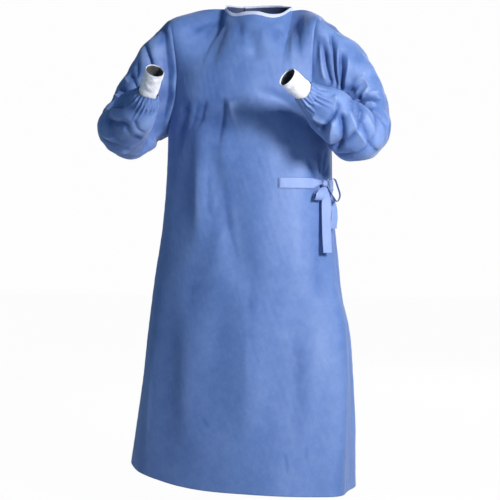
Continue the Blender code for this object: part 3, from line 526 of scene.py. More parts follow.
def turned_edge(grid, out, axis, end):
    """The grid with one edge turned under: a few more rows or columns that run back inside."""
    grid, out = np.moveaxis(grid, axis, 0), np.moveaxis(out, axis, 0)
    if end == "last":
        grid, out = grid[::-1], out[::-1]
    inside = (grid - 2 * HEM_FOLD * out)[1 : HEM_TURN + 1][::-1]
    beyond = unit(grid[0] - grid[1])
    bend = grid[0] + beyond * HEM_FOLD - HEM_FOLD * out[0]
    turned = np.concatenate([inside, bend[None], grid])
    if end == "last":
        turned = turned[::-1]
    return np.moveaxis(turned, 0, axis)


def cloth_object(name, grid, cloth_size, wrap=False):
    """One sheet through a grid of points, with its flat sizes in metres as UVs."""
    rows, columns = grid.shape[:2]
    steps = columns if wrap else columns - 1
    i, j = np.meshgrid(np.arange(rows - 1), np.arange(steps), indexing="ij")
    corner = i * columns + j
    right = i * columns + (j + 1) % columns
    faces = np.stack([corner, right, right + columns, corner + columns], axis=-1).reshape(-1, 4)
    data = bpy.data.meshes.new(name)
    data.from_pydata(grid.reshape(-1, 3).tolist(), [], faces.tolist())
    u = np.stack([j, j + 1, j + 1, j], axis=-1) / steps * cloth_size[0]
    v = np.stack([i, i, i + 1, i + 1], axis=-1) / (rows - 1) * cloth_size[1]
    layer = data.uv_layers.new(name="cloth")
    layer.data.foreach_set("uv", np.stack([u, v], axis=-1).reshape(-1).astype(np.float32))
    data.shade_smooth()
    piece = bpy.data.objects.new(name, data)
    bpy.context.scene.collection.objects.link(piece)
    return piece


def face_outwards(piece, middle):
    """Turns the faces so that most of them look away from a point."""
    data = piece.data
    centres, normals = np.zeros((2, len(data.polygons) * 3))
    data.polygons.foreach_get("center", centres)
    data.polygons.foreach_get("normal", normals)
    looks = ((centres.reshape(-1, 3) - middle) * normals.reshape(-1, 3)).sum()
    if looks < 0:
        data.flip_normals()


RELIEF_FULL = 0.005


def mark_relief(piece, relief):
    """Stores how far each point was moved out or in by the creases, -1 to 1, as an attribute, from which the
    cloth's colour takes painted shade in troughs and painted highlight on ridges.
    """
    attribute = piece.data.attributes.new("relief", "FLOAT", "POINT")
    attribute.data.foreach_set("value", np.clip(relief / RELIEF_FULL, -1, 1).reshape(-1).astype(np.float32))


S_ACROSS = np.linspace(0, 1, PANEL_COLUMNS + 1)[None, :]
FROM_SIDE = np.minimum(S_ACROSS, 1 - S_ACROSS)


def panel_face(grid, out, creases, cut):
    """A torso panel's outer face, with its creases, ripples and the dips along its seams."""
    relief = crease_relief(grid, out, creases, panel_place(cut)) * smooth_step(FROM_SIDE / SEAM_QUIET)
    relief += CLOTH_RIPPLE * ripples(grid, RIPPLE_LENGTH, RIPPLE_SEED, DOWN_THE_CLOTH)
    relief += FINE_RIPPLE * ripples(grid, FINE_RIPPLE_LENGTH, FINE_RIPPLE_SEED, DOWN_THE_FIBRES)
    dips = swell(FROM_SIDE * PANEL_WIDTH, 0, SEAM_REACH) + 0 * LEVELS[:, None]
    beside_neck = np.abs(S_ACROSS - 0.5) > 0.5 - NECK_SHARE
    at_top = swell((2 - LEVELS[:, None]) * SHOULDER_RISE, 0, SEAM_REACH)
    dips += at_top * beside_neck * (1 - dips)
    relief = relief * STILL - SEAM_DIP * dips
    return grid + out * (relief + CLOTH_OUT)[..., None], relief


front_face, front_relief = panel_face(front_grid, front_out, FRONT_CREASES, ARMHOLE_FRONT)


def group_of(name, inputs, outputs):
    """An empty shader node group with named sockets: (name, socket type, default value)."""
    group = bpy.data.node_groups.new(name, "ShaderNodeTree")
    for socket, kind, value in inputs:
        made = group.interface.new_socket(socket, in_out="INPUT", socket_type=kind)
        made.default_value = value
    for socket, kind in outputs:
        group.interface.new_socket(socket, in_out="OUTPUT", socket_type=kind)
    return group


def add(tree, kind, inputs=None, **settings):
    """A node of a tree, with its settings. An input gets a value, or the output that feeds it."""
    node = tree.nodes.new(kind)
    for setting, value in settings.items():
        setattr(node, setting, value)
    for socket, value in (inputs or {}).items():
        if isinstance(value, bpy.types.NodeSocket):
            tree.links.new(value, node.inputs[socket])
        else:
            node.inputs[socket].default_value = value
    return node


def calc(tree, operation, *values):
    """The result of a sum on numbers or other nodes' outputs."""
    return add(tree, "ShaderNodeMath", dict(enumerate(values)), operation=operation).outputs[0]


def ranged(tree, value, begin, end, low, high, way="LINEAR"):
    """A value taken from one range to another."""
    limits = {"Value": value, "From Min": begin, "From Max": end, "To Min": low, "To Max": high}
    return add(tree, "ShaderNodeMapRange", limits, interpolation_type=way).outputs["Result"]


def mixed(tree, amount, first, second):
    """The colour between two colours."""
    colours = {"Factor": amount, "A": first, "B": second}
    return add(tree, "ShaderNodeMix", colours, data_type="RGBA").outputs["Result"]


def cloudy(tree, place, scale, detail, roughness=0.5):
    """Cloudy values over a piece."""
    values = {"Vector": place, "Scale": scale, "Detail": detail, "Roughness": roughness}
    return add(tree, "ShaderNodeTexNoise", values).outputs["Fac"]


def nonwoven_group():
    """Bonded fibre cloth: cloudy and streaky colour and bond dots, with painted highlight on ridges and
    painted shade in troughs.
    """
    tree = group_of(
        "bonded_fibres_and_painted_crease_shading",
        [
            ("Colour", "NodeSocketColor", (0.1, 0.2, 0.5, 1)),
            ("Deep", "NodeSocketColor", (0.05, 0.12, 0.4, 1)),
            ("Pale", "NodeSocketColor", (0.4, 0.5, 0.8, 1)),
            ("Dot pitch", "NodeSocketFloat", 0.0022),
        ],
        [("Colour", "NodeSocketColor"), ("Height", "NodeSocketFloat"), ("Roughness", "NodeSocketFloat")],
    )
    given = add(tree, "NodeGroupInput").outputs
    cloth = add(tree, "ShaderNodeUVMap", uv_map="cloth").outputs["UV"]
    place = add(tree, "ShaderNodeTexCoord").outputs["Object"]
    stretch = add(tree, "ShaderNodeMapping", {"Vector": cloth, "Scale": (620.0, 110.0, 1.0)})
    clouds = cloudy(tree, place, 34.0, 5.0, 0.62)
    streaks = cloudy(tree, stretch.outputs["Vector"], 1.0, 3.0, 0.6)
    specks = cloudy(tree, place, 420.0, 2.0, 0.7)

    # Bond dots on a diamond lattice
    apart = add(tree, "ShaderNodeSeparateXYZ", {"Vector": cloth}).outputs
    waves = []
    for axis in ("X", "Y"):
        turns = calc(tree, "DIVIDE", apart[axis], given["Dot pitch"])
        waves.append(calc(tree, "SINE", calc(tree, "MULTIPLY", turns, 2 * math.pi)))
    dots = ranged(tree, calc(tree, "MULTIPLY", *waves), 0.45, 0.80, 0.0, 1.0, "SMOOTHSTEP")

    # Colour: deep to pale by the relief, as painted shade in the troughs and painted highlight on the ridges,
    # and by the clouds, the streaks and the dots
    relief = add(tree, "ShaderNodeAttribute", attribute_name="relief").outputs["Fac"]
    colour = given["Colour"]
    for amount, tone in (
        (ranged(tree, relief, 0.0, -1.0, 0.0, 0.75), "Deep"),
        (ranged(tree, relief, 0.0, 1.0, 0.0, 0.55), "Pale"),
        (ranged(tree, clouds, 0.38, 0.66, 0.0, 0.17), "Pale"),
        (ranged(tree, streaks, 0.35, 0.70, 0.0, 0.20), "Deep"),
        (calc(tree, "MULTIPLY", dots, 0.22), "Deep"),
    ):
        colour = mixed(tree, amount, colour, given[tone])

    height = calc(tree, "MULTIPLY", dots, -0.55)
    height = calc(tree, "MULTIPLY_ADD", streaks, 0.8, height)
    height = calc(tree, "MULTIPLY_ADD", specks, 0.5, height)
    rough = ranged(tree, specks, 0.0, 1.0, 0.57, 0.70)
    add(tree, "NodeGroupOutput", {"Colour": colour, "Height": height, "Roughness": rough})
    return tree


FIBRES_AND_PAINTED_CREASE_SHADING = nonwoven_group()


def cloth_material(name, group, colours, strength, distance, values):
    """A material whose colour and relief come from a group, with its shader's and group's sockets."""
    material = bpy.data.materials.new(name)
    material.use_nodes = True
    tree = material.node_tree
    shader = tree.nodes["Principled BSDF"].inputs
    tones = {tone: (*colour, 1) for tone, colour in zip(("Colour", "Deep", "Pale"), colours)}
    weave = add(tree, "ShaderNodeGroup", tones, node_tree=group).outputs
    relief = {"Strength": strength, "Distance": distance, "Height": weave["Height"]}
    bump = add(tree, "ShaderNodeBump", relief)
    tree.links.new(bump.outputs["Normal"], shader["Normal"])
    tree.links.new(weave["Colour"], shader["Base Color"])
    for socket, value in values.items():
        shader[socket].default_value = value
    return material, shader, weave


# Near-black navy painted on the cloth's inner faces: painted shade of the hollows inside the gown.
PAINTED_INNER_SHADE = (0.004, 0.008, 0.030, 1)


def nonwoven(name, colour, deep, pale, sheen, inside=0.0):
    """Matt nonwoven cloth in a colour, with deeper and paler tones, and its inner face painted darker as
    shade.
    """
    values = {"Sheen Weight": sheen, "Sheen Roughness": 0.45, "Sheen Tint": (0.80, 0.82, 1.0, 1)}
    values |= {"IOR": 1.60, "Specular IOR Level": 0.56}
    material, shader, fibres_and_crease_shading = cloth_material(name, FIBRES_AND_PAINTED_CREASE_SHADING, (colour, deep, pale), 0.35, 0.0004, values)
    tree = material.node_tree
    # The inner faces are painted near-black navy, as shade, in the share given as inside.
    behind = add(tree, "ShaderNodeNewGeometry").outputs["Backfacing"]
    colour_with_inner_shade = mixed(tree, calc(tree, "MULTIPLY", behind, inside), fibres_and_crease_shading["Colour"], PAINTED_INNER_SHADE)
    tree.links.new(colour_with_inner_shade, shader["Base Color"])
    tree.links.new(fibres_and_crease_shading["Roughness"], shader["Roughness"])
    return material


BLUE_TONES = ((0.088, 0.178, 0.440), (0.018, 0.076, 0.285), (0.250, 0.350, 0.630))
# The blue cloth's inner faces take 0.8 of the painted shade.
BLUE = nonwoven("blue_nonwoven", *BLUE_TONES, sheen=0.22, inside=0.8)


def turned_values(values, axis, end):
    """Values of a panel's points, with those of the edge that turned_edge adds."""
    values = np.moveaxis(values, axis, 0)
    values = values[::-1] if end == "last" else values
    values = np.concatenate([values[: HEM_TURN + 1][::-1], values])
    values = values[::-1] if end == "last" else values
    return np.moveaxis(values, 0, axis)


def dress(piece, material, node, relief=None):
    """Gives a cloth piece its material and its relief if given, hangs it from the root and hides the solid
    that it stands for.
    """
    if relief is not None:
        mark_relief(piece, relief)
    piece.data.materials.append(material)
    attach(piece, "root")
    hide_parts(node)


front_sheet = turned_edge(front_face, front_out, 0, "first")
front = cloth_object("gown_front", front_sheet, FRONT_CLOTH)
face_outwards(front, BODY_MIDDLE)
dress(front, BLUE, "front", turned_values(front_relief, 0, "first"))

# Back panels. Two pieces of the same cloth, sewn to the front; the right one laps over the left one.
# Their free edges and hems are turned under. They hang from the shoulders and are held by the tie.
RIGHT_BACK_ENDS = 19 / 32
LEFT_BACK_BEGINS = 13 / 32
LAP_STEP = 0.0044
LAP_BEGINS = 0.30
LAP_READY = 0.38
BACK_CLOTH = (0.40, 1.20)
BACK_CREASES = [
    # Hanging from the shoulder blades
    (((0.25, 1.86), (0.275, 1.5), (0.27, 1.1)), 14, 18, -6, 1.5, 0.3, 0.4),
    (((0.33, 1.75), (0.345, 1.35), (0.33, 0.95)), 16, 12, 5, 1.5, 0.3, 0.4),
    (((0.69, 1.84), (0.66, 1.45), (0.69, 1.05)), 14, 18, -6.5, 1.5, 0.3, 0.4),
    (((0.8, 1.7), (0.78, 1.3), (0.8, 0.9)), 13, 16, 5, 1.5, 0.3, 0.4),
    (((0.88, 1.45), (0.85, 1.1), (0.87, 0.7)), 12, 16, -5.5, 1.5, 0.3, 0.4),
    (((0.11, 1.4), (0.15, 1.05), (0.13, 0.7)), 13, 15, -6, 1.5, 0.3, 0.4),
    # Drawn towards the tie at the waist
    (((0.48, 0.96), (0.585, 0.875)), 8, 10, -4.5, 1.4, 0.4, 0.2),
    (((0.47, 0.78), (0.585, 0.83)), 8, 10, -4.2, 1.4, 0.4, 0.2),
    (((0.76, 0.93), (0.69, 0.865), (0.62, 0.85)), 8, 10, -3.6, 1.4, 0.4, 0.3),
    (((0.93, 0.9), (0.85, 0.84)), 8, 10, -3.6, 1.4, 0.4, 0.3),
    # Long folds to the hem
    (((0.12, 0.62), (0.125, 0.3), (0.115, 0.02)), 13, 17, -6.5, 1.5, 0.3, 0.2),
    (((0.215, 0.8), (0.225, 0.4), (0.215, 0.06)), 13, 10, 6, 1.4, 0.3, 0.3),
    (((0.3, 0.66), (0.31, 0.36), (0.32, 0.05)), 11, 15, -6, 1.4, 0.3, 0.3),
    (((0.45, 0.7), (0.47, 0.35), (0.465, 0.05)), 12, 15, -5, 1.5, 0.3, 0.3),
    (((0.66, 0.72), (0.65, 0.4), (0.665, 0.03)), 10, 14, -6.2, 1.4, 0.3, 0.3),
    (((0.73, 0.6), (0.745, 0.3), (0.74, 0.08)), 13, 9, 5.5, 1.4, 0.3, 0.3),
    (((0.8, 0.76), (0.815, 0.42), (0.805, 0.1)), 10, 14, -5.8, 1.4, 0.3, 0.3),
    (((0.9, 0.55), (0.89, 0.3), (0.9, 0.04)), 10, 12, 4.5, 1.5, 0.3, 0.3),
]

back_face, back_relief = panel_face(back_grid, back_out, BACK_CREASES, ARMHOLE_BACK)
back_s = np.linspace(0, 1, PANEL_COLUMNS + 1)
lap = LAP_STEP * smooth_step((back_s - LAP_BEGINS) / (LAP_READY - LAP_BEGINS))
right_columns = round(RIGHT_BACK_ENDS * PANEL_COLUMNS) + 1
left_columns = round(LEFT_BACK_BEGINS * PANEL_COLUMNS)
lapped_face = back_face + back_out * lap[None, :, None]
for name, columns, surface, end in (
    ("right", slice(0, right_columns), lapped_face, "last"),
    ("left", slice(left_columns, None), back_face, "first"),
):
    points = surface[:, columns]
    outwards = back_out[:, columns]
    relief = turned_values(turned_values(back_relief[:, columns], 1, end), 0, "first")
    hemmed = turned_edge(points, outwards, 1, end)
    outwards = turned_values(outwards, 1, end)
    hemmed = turned_edge(hemmed, outwards, 0, "first")
    panel = cloth_object("gown_back_" + name, hemmed, BACK_CLOTH)
    face_outwards(panel, BODY_MIDDLE)
    dress(panel, BLUE, "back_" + name, relief)

# Sleeves. Each is one set-in piece of the same cloth, wide at the armhole and gathered at the cuff.
# The arm is bent, so the cloth breaks into folds that spread from the inside of the elbow.
Ring = namedtuple("Ring", "name x y z sideways inside outside")
SLEEVE_RIGHT = [
    Ring("armhole", -0.190, -0.005, -0.140, 0.140, 0.080, 0.080),
    Ring("upper", -0.241, -0.018, -0.177, 0.124, 0.082, 0.082),
    Ring("middle", -0.277, -0.045, -0.234, 0.095, 0.070, 0.074),
    Ring("above elbow", -0.297, -0.090, -0.277, 0.074, 0.052, 0.060),
    Ring("elbow", -0.288, -0.140, -0.290, 0.064, 0.044, 0.050),
    Ring("below elbow", -0.259, -0.190, -0.276, 0.056, 0.042, 0.050),
    Ring("forearm", -0.222, -0.240, -0.250, 0.050, 0.044, 0.046),
    Ring("wrist", -0.186, -0.280, -0.226, 0.030, 0.030, 0.030),
]
SLEEVE_LEFT = [
    Ring("armhole", 0.185, -0.008, -0.145, 0.140, 0.080, 0.080),
    Ring("upper", 0.240, -0.020, -0.180, 0.121, 0.082, 0.084),
    Ring("middle", 0.270, -0.044, -0.242, 0.100, 0.068, 0.078),
    Ring("above elbow", 0.284, -0.086, -0.284, 0.077, 0.048, 0.074),
    Ring("elbow", 0.272, -0.132, -0.296, 0.066, 0.040, 0.070),
    Ring("below elbow", 0.250, -0.172, -0.276, 0.060, 0.040, 0.064),
    Ring("forearm", 0.220, -0.202, -0.247, 0.052, 0.045, 0.050),
    Ring("wrist", 0.188, -0.236, -0.226, 0.030, 0.030, 0.030),
]
ARMHOLE_FADE = 0.30
SLEEVE_TILT = 0.66
ANGLES_EVEN = 0.50
SLEEVE_RINGS = 200
GATHERS = 19
ARMHOLE_QUIET = 0.03
WRIST_QUIET = 0.05
GATHERS_BEGIN = 0.93
GATHER_HEIGHT = 0.0026
CRUMPLE = 0.0038
CRUMPLE_LENGTH = 0.070
SAG = np.array((0.010, 0.0, -0.026))
SAG_ALONG = 0.20
SAG_REACH = 0.11
SAG_BEGINS = 0.17
SAG_ROUND = 42.0
SAG_ANGLE = 150.0
SLEEVE_RIPPLE_LENGTH = 0.06
SLEEVE_CLOTH = (0.45, 0.50)
NO_TURN = 1e-9


def frames_along(centres, first_normal):
    """Ring frames carried along a path without twisting: normal, outer side, inside of elbow."""
    part = np.linspace(0, 1, len(centres))[:, None]
    tilt = smooth_step(part / SLEEVE_TILT)
    ahead = unit(np.gradient(centres, axis=0))
    normals = unit(ahead * tilt + first_normal * (1 - tilt))
    outer = np.array((0.0, 0.0, 1.0))
    inner = np.array((0.0, -1.0, 0.0))
    frames = []
    previous = normals[0]
    for normal in normals:
        axis = np.cross(previous, normal)
        turn = math.atan2(np.linalg.norm(axis), previous @ normal)
        if turn > NO_TURN:
            axis = unit(axis)
            kept = axis * (axis @ outer)
            outer = kept + (outer - kept) * math.cos(turn) + np.cross(axis, outer) * math.sin(turn)
        outer = unit(outer - normal * (outer @ normal))
        across = np.cross(normal, outer)
        inner = across * np.sign(across @ inner)
        frames.append((normal, outer, inner))
        previous = normal
    return frames


def armhole(front_part, back_part, column):
    """Values round an armhole: from under the arm up the front, then down the back."""
    front_part = front_part[ROWS_BELOW:, column]
    back_part = back_part[ROWS_BELOW:, column]
    return np.concatenate([front_part, back_part[::-1][1:-1]])


def sleeve_rings(table, loop, side):
    """Surface of a sleeve from its armhole to the wrist, and the angles of its points in degrees."""
    middles = np.array([(row.x, row.y, row.z) for row in table])
    reaches = np.array([(row.sideways, row.inside, row.outside) for row in table])
    steps = np.linalg.norm(np.diff(middles, axis=0), axis=1)
    knots = np.concatenate([[0], np.cumsum(steps)]) / steps.sum()
    along = np.linspace(0, 1, SLEEVE_RINGS)
    centres = curve_through(knots, middles, along)
    sizes = curve_through(knots, reaches, along)
    frames = frames_along(centres, np.array((side, 0.0, 0.0)))
    normal, outer, inner = frames[0]
    local = loop - centres[0]
    flat = np.stack([local @ outer, local @ inner, local @ normal], axis=-1)
    first = np.unwrap(np.arctan2(flat[:, 1] / sizes[0][1], flat[:, 0] / sizes[0][0]))
    way = np.sign(first[-1] - first[0])
    even = first[0] + way * 2 * np.pi * np.arange(len(loop)) / len(loop)
    rings = []
    angles = []
    for part, centre, size, (normal, outer, inner) in zip(along, centres, sizes, frames):
        even_share = smooth_step(part / ANGLES_EVEN)
        angle = first * (1 - even_share) + even * even_share
        reach = np.where(np.sin(angle) > 0, size[1], size[2])
        ring = np.stack([size[0] * np.cos(angle), reach * np.sin(angle), 0 * angle], axis=-1)
        grown = np.array((size[0] / sizes[0][0], size[1] / sizes[0][1], 1))
        loop_share = 1 - smooth_step(part / ARMHOLE_FADE)
        ring = ring * (1 - loop_share) + flat * grown * loop_share
        rings.append(centre + ring @ np.array((outer, inner, normal)))
        angles.append(np.degrees(angle))
    return np.array(rings), np.array(angles)


def sleeve_place(angles):
    """How a sleeve's creases find their rows and columns from part of its length and angle."""

    def place(path, steps):
        path = curve_through(np.arange(len(path)), path, steps)
        rows = path[:, 0] * (SLEEVE_RINGS - 1)
        columns = []
        for row, angle in zip(rows, path[:, 1]):
            ring = angles[min(int(row), SLEEVE_RINGS - 1)]
            way = np.sign(ring[-1] - ring[0])
            from_first = ((angle - ring[0]) * way) % 360
            columns.append(np.interp(from_first, (ring - ring[0]) * way, np.arange(len(ring))))
        return rows, np.array(columns), True

    return place


SLEEVE_RIGHT_CREASES = [
    # Beside the armhole and down to the elbow
    (((0.04, 24), (0.046, 60), (0.052, 105), (0.05, 165)), 10, 18, -9, 1.5, 0.25, 0.25),
    (((0.14, 34), (0.132, 58), (0.128, 76)), 4, 8.8, -10.4, 1.1, 0.3, 0.15),
    (((0.185, 46), (0.225, 66)), 4.8, 7.2, -5.2, 1.15, 0.3, 0.3),
    (((0.275, 34), (0.245, 58), (0.24, 84)), 5.6, 8.8, -7.2, 1.15, 0.3, 0.3),
    (((0.3, 20), (0.29, 50)), 6.4, 8, 5.2, 1.25, 0.3, 0.3),
    (((0.36, 10), (0.345, 50), (0.35, 90)), 6.4, 9.6, -9.7, 1.15, 0.3, 0.2),
    (((0.44, 14), (0.43, 55), (0.45, 95)), 6.4, 9.6, -13, 1.15, 0.3, 0.2),
    (((0.4, 0), (0.395, 45), (0.405, 80)), 8, 8, 7.2, 1.25, 0.3, 0.3),
    # Elbow and forearm
    (((0.7, 330), (0.79, 290), (0.86, 258), (0.8, 222)), 6.4, 10.4, -11.1, 1.15, 0.2, 0.3),
    (((0.62, 318), (0.66, 285), (0.74, 258)), 7.2, 9.6, 6.5, 1.25, 0.3, 0.3),
    (((0.6, 300), (0.64, 268), (0.7, 240)), 5.6, 8, -6.5, 1.15, 0.3, 0.3),
    (((0.56, 280), (0.62, 240), (0.66, 215)), 7.2, 9.6, 5.9, 1.25, 0.3, 0.3),
    (((0.83, 232), (0.79, 205), (0.74, 190)), 4.8, 8, -6.5, 1.15, 0.3, 0.3),
    (((0.93, 300), (0.84, 320), (0.76, 350)), 5.6, 8, -6.5, 1.15, 0.2, 0.3),
    (((0.92, 245), (0.88, 225), (0.85, 195)), 4.8, 7.2, -4.9, 1.15, 0.2, 0.3),
    (((0.9, 60), (0.8, 40), (0.72, 50)), 5.6, 8, -7.2, 1.15, 0.2, 0.3),
    (((0.88, 130), (0.78, 110), (0.64, 95)), 5.6, 8, -7.8, 1.15, 0.2, 0.3),
    # Behind
    (((0.12, 200), (0.3, 215), (0.46, 240)), 8, 11.2, -7.8, 1.35, 0.3, 0.3),
    (((0.13, 280), (0.28, 270), (0.48, 290)), 8, 11.2, -7.2, 1.35, 0.3, 0.3),
    (((0.22, 340), (0.36, 330), (0.56, 345)), 8, 10.4, -7.2, 1.35, 0.3, 0.3),
    (((0.48, 130), (0.52, 170), (0.56, 205)), 6.4, 8.8, -8.4, 1.25, 0.3, 0.3),
]
SLEEVE_LEFT_CREASES = [
    # Upper arm, spreading from the pinch inside the elbow
    (((0.125, 96), (0.085, 80), (0.058, 62)), 4.8, 7.2, -9.7, 1.15, 0.15, 0.3),
    (((0.095, 96), (0.06, 78), (0.035, 62)), 7.2, 5.6, 6.5, 1.25, 0.2, 0.3),
    (((0.16, 98), (0.135, 76), (0.105, 54), (0.08, 44)), 4.8, 7.2, -10.4, 1.15, 0.15, 0.4),
    (((0.175, 90), (0.152, 66), (0.138, 48)), 6.4, 6.4, 6.5, 1.25, 0.25, 0.4),
    (((0.2, 96), (0.182, 72), (0.16, 48)), 5.6, 10.4, -14.9, 1.15, 0.15, 0.4),
    (((0.232, 88), (0.215, 62), (0.19, 44)), 7.2, 7.2, 7.2, 1.25, 0.25, 0.4),
    (((0.22, 104), (0.262, 86), (0.3, 72), (0.372, 54)), 6.4, 8.8, -18.7, 1.15, 0.1, 0.3),
    (((0.28, 66), (0.33, 46), (0.395, 38), (0.425, 54)), 5.6, 7.2, 9.1, 1.15, 0.25, 0.2),
    (((0.36, 78), (0.4, 62), (0.43, 50)), 4.8, 6.4, -13.7, 1.15, 0.2, 0.3),
    (((0.425, 70), (0.455, 48), (0.468, 25), (0.46, 2)), 3.6, 5.6, -18.5, 1.1, 0.12, 0.4),
    (((0.452, 76), (0.482, 58), (0.505, 40)), 4, 4.8, -14, 1.1, 0.12, 0.4),
    (((0.432, 45), (0.436, 6)), 4.8, 4.8, 6.5, 1.2, 0.3, 0.4),
    (((0.52, 48), (0.52, 8)), 6.4, 6.4, 6.5, 1.25, 0.3, 0.4),
    (((0.56, 70), (0.575, 35), (0.59, 5)), 4.8, 7.2, -7.8, 1.15, 0.2, 0.3),
    # Elbow and underside
    (((0.83, 332), (0.744, 352), (0.7, 8)), 4.8, 6.4, -9.7, 1.1, 0.2, 0.3),
    (((0.815, 316), (0.734, 291), (0.633, 283)), 6.4, 7.2, 8.4, 1.15, 0.2, 0.3),
    (((0.835, 300), (0.77, 272), (0.72, 240), (0.683, 216)), 5.6, 8, -13.7, 1.15, 0.15, 0.25),
    (((0.845, 275), (0.78, 240), (0.72, 212)), 7.2, 6.4, 7.8, 1.15, 0.2, 0.3),
    (((0.8, 338), (0.72, 312), (0.64, 292)), 4.8, 7.2, -7.8, 1.15, 0.2, 0.3),
    (((0.76, 346), (0.69, 324), (0.62, 304)), 6.4, 6.4, 7.2, 1.15, 0.2, 0.3),
    (((0.7, 4), (0.62, 352), (0.543, 322)), 4.8, 8, -10.4, 1.15, 0.15, 0.15),
    (((0.69, 300), (0.62, 285), (0.56, 275)), 4.8, 7.2, -6.5, 1.15, 0.3, 0.3),
    # Forearm
    (((0.96, 228), (0.9, 240), (0.85, 254)), 6.4, 7.2, 6.5, 1.25, 0.2, 0.3),
    (((0.835, 212), (0.85, 248), (0.87, 290), (0.905, 326)), 4.8, 7.2, -9.7, 1.15, 0.2, 0.2),
    (((0.925, 330), (0.89, 308), (0.872, 272)), 5.6, 5.6, 6.5, 1.15, 0.2, 0.3),
    (((0.93, 212), (0.87, 222), (0.82, 246)), 4.8, 6.4, -6.5, 1.15, 0.2, 0.3),
    (((0.92, 20), (0.82, 30), (0.72, 55)), 5.6, 8, -7.8, 1.15, 0.2, 0.3),
    (((0.9, 100), (0.78, 110), (0.66, 95)), 5.6, 8, -7.8, 1.15, 0.2, 0.3),
    # Behind
    (((0.12, 215), (0.3, 225), (0.47, 245)), 8, 11.2, -7.8, 1.35, 0.3, 0.3),
    (((0.14, 290), (0.29, 282), (0.5, 300)), 8, 11.2, -7.2, 1.35, 0.3, 0.3),
    (((0.2, 345), (0.34, 335), (0.5, 340)), 8, 10.4, -6.5, 1.35, 0.3, 0.3),
    (((0.47, 135), (0.52, 175), (0.57, 210)), 6.4, 8.8, -8.4, 1.25, 0.3, 0.3),
]
SLEEVE_LENGTH = 0.45
CuffEnd = namedtuple("CuffEnd", "radius place")
CUFF_ENDS = {
    "right": CuffEnd(0.0210, np.array((-0.149, -0.331, -0.170))),
    "left": CuffEnd(0.0225, np.array((0.146, -0.286, -0.187))),
}
FRILL_ROWS = 14
FRILL_LENGTH = 0.021
FRILL_SHORTEST = 0.008
FRILL_OFF_CUFF = 0.0036
FRILL_UNEVEN = 0.10
FRILL_WAVES = 3
PLEAT_AT_WRIST = 0.8
PLEAT_LOST = 0.5
GATHER_BEND = 2.2
GATHER_BLUNT = 0.8
GATHER_ENDS = 1.02
GATHER_UNEVEN = ((0.35, 2), (0.30, 5))
GATHER_SHIFT = 0.03
GATHER_SHIFT_WAVES = (3, 7)
WAVE_START = 6


def gathers(along, angle, seed):
    """Relief of the gathers at the cuff, uneven in depth and length round the wrist."""
    chance = np.random.default_rng(seed)
    turn = np.radians(angle)
    uneven = 0
    for share, waves in GATHER_UNEVEN:
        uneven = uneven + share * np.sin(turn * waves + chance.uniform(0, WAVE_START))
    wave = np.sin(turn * GATHERS + uneven * GATHER_BEND)
    wave = np.sign(wave) * np.abs(wave) ** GATHER_BLUNT
    few, many = GATHER_SHIFT_WAVES
    shift = np.sin(turn * few + chance.uniform(0, WAVE_START)) + np.sin(turn * many)
    begins = GATHERS_BEGIN + GATHER_SHIFT * shift
    rise = smooth_step((along - begins) / (GATHER_ENDS - begins))
    return GATHER_HEIGHT * rise * wave


def frill(wrist_ring, angle, end, seed):
    """Rings of the gathered edge, from the wrist to where the cuff holds it, on one plane there."""
    wrist = wrist_ring.mean(axis=0)
    ahead = unit(end.place - wrist)
    around = wrist_ring - wrist
    length = np.maximum(FRILL_LENGTH - around @ ahead, FRILL_SHORTEST)
    around = around - (around @ ahead)[:, None] * ahead
    away = np.linalg.norm(around, axis=1)
    turn = np.radians(angle)
    rings = []
    for step in range(1, FRILL_ROWS + 1):
        part = step / FRILL_ROWS
        share = smooth_step(part)
        reach = length * part * (1 + FRILL_UNEVEN * np.sin(turn * FRILL_WAVES + seed))
        pleats = GATHER_HEIGHT * (PLEAT_AT_WRIST - PLEAT_LOST * part) * np.sin(turn * GATHERS + seed)
        radius = away * (1 - share) + (end.radius + FRILL_OFF_CUFF) * share + pleats
        rings.append(wrist_ring + ahead * reach[:, None] + unit(around) * (radius - away)[:, None])
    return np.array(rings)


sleeves = {}
for name, table, creases, column, side, seed in (
    ("right", SLEEVE_RIGHT, SLEEVE_RIGHT_CREASES, 0, -1, 21),
    ("left", SLEEVE_LEFT, SLEEVE_LEFT_CREASES, -1, 1, 34),
):
    rings, angles = sleeve_rings(table, armhole(front_grid, back_grid, column), side)
    outwards = normals_of(rings, True) * -side
    along = np.linspace(0, 1, SLEEVE_RINGS)[:, None]
    if name == "left":
        low = swell((angles - SAG_ANGLE + 180) % 360 - 180, 0, SAG_ROUND)
        low = low * swell(along, SAG_ALONG, SAG_REACH) * smooth_step(along / SAG_BEGINS)
        rings = rings + low[..., None] * SAG
        outwards = normals_of(rings, True) * -side
    relief = crease_relief(rings, outwards, creases, sleeve_place(angles))
    relief += CRUMPLE * crumples(rings, CRUMPLE_LENGTH, seed)
    relief += CLOTH_RIPPLE * ripples(rings, SLEEVE_RIPPLE_LENGTH, seed)
    relief += FINE_RIPPLE * ripples(rings, FINE_RIPPLE_LENGTH, seed + 1)
    relief *= smooth_step(along / ARMHOLE_QUIET) * smooth_step((1 - along) / WRIST_QUIET)
    relief += gathers(along, angles, seed)
    relief -= SEAM_DIP * swell(along * SLEEVE_LENGTH, 0, SEAM_REACH)
    rings = rings + outwards * (relief + CLOTH_OUT)[..., None]
    rings[0] = armhole(front_face, back_face, column)
    sleeves[name] = rings[-1]
    rings = np.concatenate([rings, frill(rings[-1], angles[-1], CUFF_ENDS[name], seed)])
    sleeve = cloth_object("gown_sleeve_" + name, rings, SLEEVE_CLOTH, True)
    face_outwards(sleeve, rings.mean(axis=(0, 1)))
    relief = np.concatenate([relief] + [relief[-1:]] * FRILL_ROWS)
    dress(sleeve, BLUE, "sleeve_" + name, relief)

